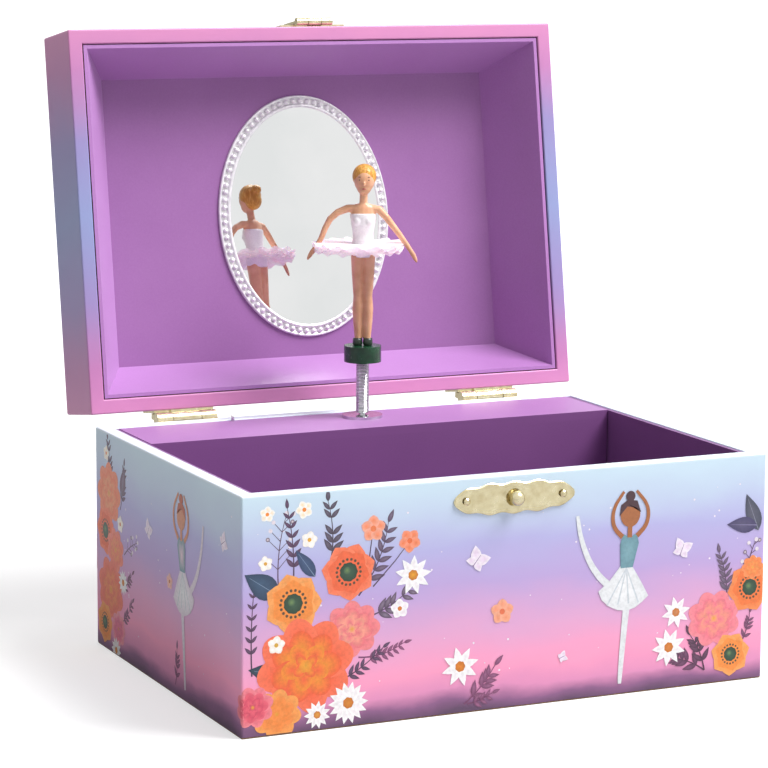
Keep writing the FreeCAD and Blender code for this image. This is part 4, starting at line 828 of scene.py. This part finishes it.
# ------------------------------------------------------------------ mirror and beaded frame
# A thin oval mirror is glued in the lid, under a silvered plastic ring moulded with a row of beads.
silver_mirror, mirror_tree, mirror_shader = finish_named("mirror_silvering", Metallic=1.0)
smear = use_group(mirror_tree, grain_group, Size=30.0)
mirror_tree.links.new(ramp(mirror_tree, smear.outputs["Mask"], [(0.3, "#e2e4e4"), (0.7, "#ececec")]),
                      mirror_shader.inputs["Base Color"])
mirror_tree.links.new(math_node(mirror_tree, "MULTIPLY", smear.outputs["Mask"], 0.02),
                      mirror_shader.inputs["Roughness"])
finish_nodes(silver_mirror, "mirror_glass")

PANEL_DEPTH = 3.5 * MM
FRAME_ACROSS, FRAME_LONG = 27.2, 35.7
FRAME_WIDE = 3.6
BEAD_INSET, BEAD_PITCH = 1.7, 2.2
BEAD_RADIUS, BEAD_DROP = 0.84, 0.66
panel_level = lid_top - PANEL_DEPTH


def oval_ring(inset, drop, count=160):
    """Points round the frame's oval, drawn in by the inset, standing proud of the panel."""
    a, b = FRAME_ACROSS - inset, FRAME_LONG - inset
    return [Vector((a * math.cos(math.tau * i / count) * MM, b * math.sin(math.tau * i / count) * MM,
                    panel_level - drop * MM)) for i in range(count)]


frame_mesh = bmesh.new()
frame_profile = [(0.0, 0.0), (0.02, 0.45), (0.14, 0.72), (0.36, 0.86), (0.62, 0.82), (0.82, 0.62),
                 (0.98, 0.52), (BEAD_INSET, 0.46), (2.42, 0.52), (2.6, 0.70), (2.78, 1.12), (3.0, 1.24),
                 (3.22, 1.2), (3.5, 1.06), (FRAME_WIDE, 1.0), (FRAME_WIDE, 0.0)]
join_rings(frame_mesh, [oval_ring(inset, drop) for inset, drop in frame_profile], closed=True)
# The beads are spaced evenly along the oval, which is measured in short steps.
bead_across, bead_long = FRAME_ACROSS - BEAD_INSET, FRAME_LONG - BEAD_INSET
perimeter_at = [0.0]
STEPS = 720
for i in range(STEPS):
    angle = math.tau * (i + 0.5) / STEPS
    perimeter_at.append(perimeter_at[-1] + math.hypot(bead_across * math.sin(angle),
                                                      bead_long * math.cos(angle)) * math.tau / STEPS)
beads = round(perimeter_at[-1] / BEAD_PITCH)
step_index = 0
for bead in range(beads):
    wanted = perimeter_at[-1] * bead / beads
    while perimeter_at[step_index + 1] < wanted:
        step_index += 1
    angle = math.tau * (step_index + 0.5) / STEPS
    middle = Vector((bead_across * math.cos(angle), bead_long * math.sin(angle), 0)) * MM
    middle.z = panel_level - BEAD_DROP * MM
    bmesh.ops.create_uvsphere(frame_mesh, u_segments=12, v_segments=8, radius=BEAD_RADIUS * MM,
                              matrix=Matrix.Translation(middle))
frame_silver = metal("frame_silver", "#dedce0", "#f6f4f6", 0.32, size=1.5, depth=0.01, metallic=0.4)
mirror_ring = place_mesh(frame_mesh, "mirror_beaded_frame", frame_silver, "lid", open_lid)
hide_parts("mirror_frame")

# ------------------------------------------------------------------ hinges, hasp and clasp
# Two small butt hinges are nailed over the back edge, and a loose flap hangs from the lid's front.
# All are thin stamped steel with a pale brass plating that has rubbed through a little.
plated_brass = metal("brass_plate", "#cdc098", "#e2d8b4", 0.25, size=2.2, depth=0.006)
finish_nodes(plated_brass, "hinge_case_leaves", "hinge_lid_leaves", "hinge_pins", "hinge_nails_case",
             "hinge_nails_lid", "hasp_plate", "hasp_flap", "hasp_pin", "hasp_nails", "clasp_stud",
             "clasp_nails")
soften(0.1, "hinge_case_leaves", "hinge_lid_leaves", "hasp_plate", "hasp_flap")

plate_low, plate_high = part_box("clasp_plate")
plate_middle = (plate_low + plate_high) / 2 / MM
plate_long = (plate_high.x - plate_low.x) / MM / 2
plate_tall = (plate_high.z - plate_low.z) / MM / 2
plate_deep = (plate_high.y - plate_low.y) / MM
ALONG, ACROSS = 96, 18
PLATE_THICK, RIM_RAISED = 0.30, 0.20
SCROLL_RAISED = 0.045
BOSS_RING, BOSS_RAISED = 2.7, 0.26
clasp_mesh = bmesh.new()
clasp_rows = []
for i in range(ALONG + 1):
    s = -1 + 2 * i / ALONG
    s_round = math.sin(s * math.pi / 2)
    waist = max(1 - abs(s_round) ** 3.4, 0.0) ** 0.5
    waist *= 0.93 + 0.07 * math.cos(s_round * 5 * math.pi)
    row = []
    for j in range(ACROSS + 1):
        t = -1 + 2 * j / ACROSS
        u = s_round * plate_long
        v = t * plate_tall * max(waist, 0.02)
        edge = 1 - max(abs(t), abs(s_round) ** 6)
        rim = RIM_RAISED * math.exp(-((edge - 0.10) / 0.05) ** 2)
        height = PLATE_THICK + rim if edge > 0.001 else 0.0
        inside = min(max((edge - 0.16) / 0.1, 0.0), 1.0)
        curl = math.cos(1.5 * u + 2.4 * math.cos(0.9 * abs(v) + 0.3)) * math.cos(1.7 * v)
        height += inside * SCROLL_RAISED * curl
        from_middle = math.hypot(u, v)
        boss = BOSS_RAISED * math.exp(-((from_middle - BOSS_RING) / 0.32) ** 2)
        height += boss if from_middle < 6 else 0.0
        row.append(clasp_mesh.verts.new(Vector((
            u + plate_middle.x, plate_high.y / MM - min(height, plate_deep), v + plate_middle.z)) * MM))
    clasp_rows.append(row)
for low, high in zip(clasp_rows, clasp_rows[1:]):
    for j in range(ACROSS):
        clasp_mesh.faces.new((low[j], high[j], high[j + 1], low[j + 1]))
clasp_plate = place_mesh(clasp_mesh, "clasp_embossed_plate", plated_brass, "case")
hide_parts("clasp_plate")

# ------------------------------------------------------------------ dancer
# A moulded plastic ballerina stands on a green drum, on a close-wound spring over the drive.
# She is painted by hand, and a ruffled net skirt is stitched round her waist.
stand_low, stand_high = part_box("dancer_stand")
foot = Vector(((stand_low.x + stand_high.x) / 2, (stand_low.y + stand_high.y) / 2, stand_high.z))
DANCER_TURN = math.radians(-25)
dancer_place = Matrix.Translation(foot) @ Matrix.Rotation(DANCER_TURN, 4, "Z") @ Matrix.Scale(MM, 4)

spring_low, spring_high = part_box("dancer_spring")
WIRE = 0.21
COIL = (spring_high.x - spring_low.x) / 2 / MM - WIRE
coil_tall = (spring_high.z - spring_low.z) / MM
turns = int((coil_tall - 2 * WIRE) / (2 * WIRE))
spring_mesh = bmesh.new()
previous = None
PER_TURN, WIRE_SIDES = 20, 6
for i in range(turns * PER_TURN + 1):
    angle = math.tau * i / PER_TURN
    level = WIRE + (coil_tall - 2 * WIRE) * i / (turns * PER_TURN)
    ring = []
    for side in range(WIRE_SIDES):
        round_wire = math.tau * side / WIRE_SIDES
        reach = COIL + WIRE * math.cos(round_wire)
        ring.append(spring_mesh.verts.new(Vector((
            foot.x / MM + reach * math.cos(angle), foot.y / MM + reach * math.sin(angle),
            spring_low.z / MM + level + WIRE * math.sin(round_wire))) * MM))
    if previous:
        for side in range(WIRE_SIDES):
            after = (side + 1) % WIRE_SIDES
            spring_mesh.faces.new((previous[side], ring[side], ring[after], previous[after]))
    else:
        spring_mesh.faces.new(ring[::-1])
    previous = ring
spring_mesh.faces.new(previous)
bmesh.ops.recalc_face_normals(spring_mesh, faces=spring_mesh.faces)
coil_spring = new_piece(spring_mesh, "dancer_close_wound_spring", polished_steel)
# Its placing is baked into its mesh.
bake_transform(coil_spring)
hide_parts("dancer_spring")

green_plastic = metal("green_plastic", "#11301f", "#1d4a30", 0.25, size=3.0, metallic=0.0)
finish_nodes(green_plastic, "dancer_stand")
soften(0.35, "dancer_stand", segments=3)


def limb(mesh, stations, sides=16):
    """A closed tube through stations of (x, y, z, half width, half depth), rounded at its ends."""
    rings = []
    for i, (x, y, z, wide, deep) in enumerate(stations):
        before = Vector(stations[max(i - 1, 0)][:3])
        after = Vector(stations[min(i + 1, len(stations) - 1)][:3])
        along = (after - before).normalized()
        across = Vector((0, 1, 0)).cross(along)
        across = across.normalized() if across.length > 0.2 else Vector((1, 0, 0))
        forward = along.cross(across).normalized()
        rings.append([mesh.verts.new(Vector((x, y, z)) + across * wide * math.cos(math.tau * k / sides)
                                     + forward * deep * math.sin(math.tau * k / sides))
                      for k in range(sides)])
    for low, high in zip(rings, rings[1:]):
        for k in range(sides):
            after = (k + 1) % sides
            mesh.faces.new((low[k], low[after], high[after], high[k]))
    mesh.faces.new(rings[0][::-1])
    mesh.faces.new(rings[-1])


def ball(mesh, x, y, z, wide, deep, tall, segments=20, rings=14, turn=None):
    """A closed oval form, turned about its middle if asked."""
    size = Matrix.Diagonal((wide, deep, tall, 1))
    move = Matrix.Translation((x, y, z)) @ (turn or Matrix.Identity(4)) @ size
    bmesh.ops.create_uvsphere(mesh, u_segments=segments, v_segments=rings, radius=1.0, matrix=move)


def melt(piece, voxel, rounds=4):
    """Fuses the overlapping forms of a moulding into one skin."""
    remesh = piece.modifiers.new("fused", "REMESH")
    remesh.mode = "VOXEL"
    remesh.voxel_size = voxel * MM
    remesh.use_smooth_shade = True
    smooth = piece.modifiers.new("eased", "SMOOTH")
    smooth.factor = 0.5
    smooth.iterations = rounds


skin, skin_tree, skin_shader = finish_named("painted_skin", Roughness=0.42, Coat_Weight=0.15,
                                            Subsurface_Weight=0.08)
skin_shader.inputs["Subsurface Scale"].default_value = 0.4 * MM
skin_blush = use_group(skin_tree, grain_group, Size=3.0)
skin_tree.links.new(ramp(skin_tree, skin_blush.outputs["Mask"], [(0.35, "#e0a47f"), (0.65, "#eeb692")]),
                    skin_shader.inputs["Base Color"])
figure_mesh = bmesh.new()
for side in (-1, 1):
    limb(figure_mesh, [
        (side * 1.3, 0.0, 1.0, 1.0, 1.1), (side * 1.3, 0.05, 3.0, 1.1, 1.25),
        (side * 1.35, 0.15, 6.5, 1.4, 1.6), (side * 1.42, 0.2, 10.5, 1.58, 1.85),
        (side * 1.4, 0.0, 14.0, 1.32, 1.5), (side * 1.45, -0.05, 17.0, 1.5, 1.7),
        (side * 1.55, 0.0, 21.0, 1.7, 2.0), (side * 1.62, 0.05, 25.5, 1.85, 2.3),
        (side * 1.5, 0.05, 28.5, 1.9, 2.3)])
limb(figure_mesh, [(0, 0.1, 25.8, 3.0, 2.4), (0, 0.05, 27.5, 3.3, 2.6), (0, 0.0, 30.0, 2.7, 2.1),
                   (0, -0.05, 32.0, 2.6, 1.95), (0, -0.1, 35.0, 3.1, 2.3), (0, 0.0, 37.8, 3.5, 2.3),
                   (0, 0.05, 39.4, 3.5, 1.9), (0, 0.1, 40.4, 2.2, 1.4)])
limb(figure_mesh, [(0, 0.1, 39.2, 1.5, 1.5), (0.05, -0.05, 41.0, 1.15, 1.2), (0.1, -0.3, 43.2, 1.15, 1.2),
                   (0.2, -0.4, 45.0, 1.3, 1.3)])
limb(figure_mesh, [
    (-2.6, 0.0, 39.0, 1.25, 1.25), (-4.4, -0.05, 39.1, 1.15, 1.15), (-7.2, -0.2, 38.0, 1.02, 1.05),
    (-9.4, -0.3, 36.1, 0.95, 0.98), (-10.8, -0.4, 33.4, 0.88, 0.9), (-11.9, -0.6, 30.6, 0.8, 0.82),
    (-13.3, -0.8, 28.2, 0.68, 0.62), (-14.4, -0.9, 26.8, 0.78, 0.45), (-15.3, -1.0, 25.4, 0.6, 0.36),
    (-15.8, -1.0, 24.5, 0.3, 0.25)])
limb(figure_mesh, [
    (2.6, 0.0, 39.0, 1.25, 1.25), (4.5, -0.05, 38.8, 1.15, 1.15), (6.6, -0.2, 36.6, 1.02, 1.05),
    (8.4, -0.3, 34.2, 0.95, 0.98), (10.2, -0.4, 31.9, 0.86, 0.9), (12.0, -0.6, 29.4, 0.76, 0.8),
    (13.4, -0.8, 27.4, 0.66, 0.6), (14.2, -0.9, 26.1, 0.78, 0.45), (14.9, -1.0, 24.7, 0.6, 0.36),
    (15.2, -1.0, 23.9, 0.3, 0.25)])
ball(figure_mesh, 0.25, -0.45, 47.2, 2.95, 3.1, 3.7)
ball(figure_mesh, 0.2, -0.95, 45.2, 2.1, 2.3, 2.2)
ball(figure_mesh, 0.2, -3.55, 46.3, 0.42, 0.5, 0.72)
figure_mesh.transform(dancer_place)
dancer_skin = place_mesh(figure_mesh, "dancer_body", skin, "dancer")
melt(dancer_skin, 0.26)

hair, hair_tree, hair_shader = finish_named("painted_hair", Roughness=0.35, Coat_Weight=0.2)
hair_strand = use_group(hair_tree, grain_group, Size=1.6, Stretch=(3, 3, 0.7))
hair_tree.links.new(ramp(hair_tree, hair_strand.outputs["Mask"], [
    (0.35, "#c9832c"), (0.55, "#e3a23c"), (0.7, "#efbb5c")]), hair_shader.inputs["Base Color"])
bump(hair_tree, hair_shader, hair_strand.outputs["Height"], 0.25, 0.8)
hair_mesh = bmesh.new()
ball(hair_mesh, 0.25, 0.35, 48.2, 3.45, 3.5, 3.55, turn=Matrix.Rotation(math.radians(-12), 4, "X"))
ball(hair_mesh, 0.25, 1.3, 46.6, 2.9, 2.7, 3.0)
ball(hair_mesh, 0.25, 3.2, 49.6, 1.7, 1.5, 1.6)
hair_mesh.transform(dancer_place)
dancer_hair = place_mesh(hair_mesh, "dancer_hair", hair, "dancer")
melt(dancer_hair, 0.26, 3)

bodice, bodice_tree, bodice_shader = finish_named("satin_bodice", Roughness=0.32, Sheen_Weight=0.4)
bodice_weave = use_group(bodice_tree, grain_group, Size=0.5, Stretch=(4, 4, 1))
bodice_tree.links.new(ramp(bodice_tree, bodice_weave.outputs["Mask"], [
    (0.3, "#e6dde6"), (0.6, "#f8f4f7")]), bodice_shader.inputs["Base Color"])
bump(bodice_tree, bodice_shader, bodice_weave.outputs["Height"], 0.03, 0.4)
bodice_mesh = bmesh.new()
limb(bodice_mesh, [(0, 0.1, 25.4, 3.35, 2.75), (0, 0.05, 27.6, 3.65, 2.95), (0, 0.0, 30.0, 3.05, 2.45),
                   (0, -0.05, 32.0, 2.95, 2.3), (0, -0.15, 34.6, 3.4, 2.75), (0, -0.1, 36.6, 3.75, 2.75),
                   (0, 0.0, 37.6, 3.75, 2.6)], sides=28)
ball(bodice_mesh, -1.5, -1.7, 35.6, 1.45, 1.35, 1.5)
ball(bodice_mesh, 1.5, -1.7, 35.6, 1.45, 1.35, 1.5)
bodice_mesh.transform(dancer_place)
dancer_bodice = place_mesh(bodice_mesh, "dancer_bodice", bodice, "dancer")
melt(dancer_bodice, 0.22, 3)


def brushed_paint(name, deep, light):
    """Glossy paint put on by brush, a little uneven in tone."""
    material, tree, shader = finish_named(name, Roughness=0.3)
    speck = use_group(tree, grain_group, Size=1.0)
    tree.links.new(ramp(tree, speck.outputs["Mask"], [(0.3, deep), (0.7, light)]),
                   shader.inputs["Base Color"])
    return material


face_paint = brushed_paint("face_paint", "#3a2a26", "#4c3832")
lip_paint = brushed_paint("lip_paint", "#b8504e", "#c9625c")
eye_mesh = bmesh.new()
for side in (-1, 1):
    ball(eye_mesh, 0.25 + side * 1.1, -3.05, 47.4, 0.42, 0.2, 0.26, 12, 8)
    ball(eye_mesh, 0.25 + side * 1.15, -3.05, 48.25, 0.6, 0.16, 0.1, 12, 6)
eye_mesh.transform(dancer_place)
place_mesh(eye_mesh, "dancer_eyes", face_paint, "dancer")
lip_mesh = bmesh.new()
ball(lip_mesh, 0.2, -3.05, 44.9, 0.62, 0.24, 0.22, 12, 8)
lip_mesh.transform(dancer_place)
place_mesh(lip_mesh, "dancer_lips", lip_paint, "dancer")

shoe_mesh = bmesh.new()
for side in (-1, 1):
    limb(shoe_mesh, [(side * 1.45, -0.1, 0.0, 1.15, 1.35), (side * 1.45, -0.1, 0.6, 1.4, 1.6),
                     (side * 1.45, -0.05, 1.4, 1.35, 1.5), (side * 1.45, 0.0, 2.1, 1.3, 1.38)])
shoe_mesh.transform(dancer_place)
shoe_paint = metal("shoe_paint", "#1c2a20", "#2c3c30", 0.3, size=1.0, metallic=0.0)
place_mesh(shoe_mesh, "dancer_shoes", shoe_paint, "dancer")
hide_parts("dancer_figure")

net, net_tree, net_shader = finish_named("tutu_net", Roughness=0.6, Sheen_Weight=0.5, Sheen_Roughness=0.4,
                                         Subsurface_Weight=0.25)
net_shader.inputs["Subsurface Scale"].default_value = 0.8 * MM
# The net glows faintly pale pink: painted light, standing in for light shining through the thin net.
net_shader.inputs["Emission Color"].default_value = paint("#f3dcea")
net_shader.inputs["Emission Strength"].default_value = 0.16
net_shade = use_group(net_tree, grain_group, Size=2.5)
net_tree.links.new(ramp(net_tree, net_shade.outputs["Mask"], [
    (0.3, "#f0dfe8"), (0.6, "#fbf3f8")]), net_shader.inputs["Base Color"])
net_thread = use_group(net_tree, grain_group, Size=0.3)
net_tree.links.new(math_node(net_tree, "MULTIPLY_ADD", net_thread.outputs["Mask"], 0.5, 0.5, clamp=True),
                   net_shader.inputs["Alpha"])
bump(net_tree, net_shader, net_thread.outputs["Height"], 0.05, 0.5)
tutu_low, tutu_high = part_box("dancer_tutu")
tutu_reach = (tutu_high.x - tutu_low.x) / 2 / MM
tutu_level = ((tutu_low.z + tutu_high.z) / 2 - foot.z) / MM
tutu_mesh = bmesh.new()
ROUND_TUTU, OUT_TUTU = 180, 14
WAIST, RIPPLE, SWUNG = 3.0, 0.25, 1.4
for layer, (folds, rise, droop, phase, reach_share) in enumerate((
        (15, 0.95, -0.55, 0.0, 1.0), (17, 0.35, -0.75, 1.3, 0.99), (14, -0.25, -0.9, 2.6, 0.975),
        (16, -0.85, -1.0, 4.0, 0.95))):
    rows = []
    for i in range(OUT_TUTU + 1):
        t = i / OUT_TUTU
        row = []
        for k in range(ROUND_TUTU):
            angle = math.tau * k / ROUND_TUTU
            wave = math.sin(folds * angle + phase + 0.7 * math.sin(3 * angle + layer))
            fine_wave = math.sin(31 * angle + 2 * phase)
            reach = WAIST + (tutu_reach * reach_share - WAIST) * t + RIPPLE * t * wave - RIPPLE
            level = (tutu_level + 0.6 + rise * (0.4 + 0.6 * t) + droop * t * t
                     + (0.42 * wave + 0.14 * fine_wave) * t ** 1.2)
            row.append(tutu_mesh.verts.new((reach * math.cos(angle) - SWUNG * t, reach * math.sin(angle),
                                            level)))
        rows.append(row)
    for low, high in zip(rows, rows[1:]):
        for k in range(ROUND_TUTU):
            after = (k + 1) % ROUND_TUTU
            tutu_mesh.faces.new((low[k], low[after], high[after], high[k]))
tutu_mesh.transform(dancer_place)
tutu = place_mesh(tutu_mesh, "dancer_net_skirt", net, "dancer")
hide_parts("dancer_tutu")

# ------------------------------------------------------------------ table, light and camera
# The box stands on a plain white table top, in soft light from the front right.
bpy.ops.mesh.primitive_plane_add(size=30, location=(0, 0, 0))
table_top = bpy.context.object
table_top.name = "table_top"
table_white, table_tree, table_shader = finish_named("table_white", Roughness=0.8)
table_shader.inputs["Emission Color"].default_value = (1, 1, 1, 1)
table_grain = use_group(table_tree, grain_group, Size=60.0)
table_tree.links.new(ramp(table_tree, table_grain.outputs["Mask"], [(0.3, "#bcbcbc"), (0.7, "#c2c2c2")]),
                     table_shader.inputs["Base Color"])
# To the camera alone the table glows, and more so away from the box, so that it looks white there
# and only the soft shadow at the box's foot shows.
from_box = node(table_tree, "ShaderNodeVectorMath",
                _0=table_tree.nodes.new("ShaderNodeTexCoord").outputs["Object"])
from_box.operation = "LENGTH"
away = math_node(table_tree, "MULTIPLY_ADD", from_box.outputs["Value"], 1.5, -0.3, clamp=True)
lifted = math_node(table_tree, "MULTIPLY_ADD", away, 0.35, 0.56)
table_ray = table_tree.nodes.new("ShaderNodeLightPath")
table_tree.links.new(math_node(table_tree, "MULTIPLY", table_ray.outputs["Is Camera Ray"], lifted),
                     table_shader.inputs["Emission Strength"])
table_top.data.materials.append(table_white)

world = bpy.data.worlds.new("soft_room")
bpy.context.scene.world = world
world.use_nodes = True
sky = world.node_tree.nodes["Background"]
sky.inputs["Color"].default_value = (1, 1, 1, 1)
sky_tree = world.node_tree
sky_ray = sky_tree.nodes.new("ShaderNodeLightPath")
sky_side = node(sky_tree, "ShaderNodeSeparateXYZ",
                Vector=sky_tree.nodes.new("ShaderNodeTexCoord").outputs["Generated"])
SKY_FILL, SKY_LEAN = 0.47, 0.29
room_light = math_node(sky_tree, "MULTIPLY_ADD", sky_side.outputs[0], SKY_LEAN, SKY_FILL)
darker_by = math_node(sky_tree, "SUBTRACT", 1.0, room_light)
dimmed = math_node(sky_tree, "MULTIPLY", sky_ray.outputs["Is Diffuse Ray"], darker_by)
sky_tree.links.new(math_node(sky_tree, "SUBTRACT", 1.0, dimmed), sky.inputs["Strength"])


def soft_light(name, place, aim, size, power):
    data = bpy.data.lights.new(name, "AREA")
    data.size = size
    data.energy = power
    lamp = bpy.data.objects.new(name, data)
    lamp.location = place
    lamp.rotation_euler = (Vector(aim) - Vector(place)).to_track_quat("-Z", "Y").to_euler()
    bpy.context.scene.collection.objects.link(lamp)


soft_light("overhead_window", place=(0.75, -0.48, 1.35), aim=(0, 0, 0.05), size=0.8, power=38)

CAMERA_PLACE = Vector((-0.3482, -0.7241, 0.2081))
camera_data = bpy.data.cameras.new("camera")
camera_data.lens = 139.83
camera_data.sensor_width = 36
camera = bpy.data.objects.new("camera", camera_data)
bpy.context.scene.collection.objects.link(camera)
ahead = Vector((0.4154, 0.8953, -0.1607)).normalized()
right = ahead.cross(Vector((0, 0, 1))).normalized()
upward = right.cross(ahead)
roll = math.radians(0.35)
right, upward = (right * math.cos(roll) + upward * math.sin(roll),
                 upward * math.cos(roll) - right * math.sin(roll))
turned = Matrix((right, upward, -ahead)).transposed()
camera.matrix_world = Matrix.Translation(CAMERA_PLACE) @ turned.to_4x4()
bpy.context.scene.camera = camera
bpy.context.scene.view_settings.view_transform = "Standard"

bpy.context.view_layer.update()
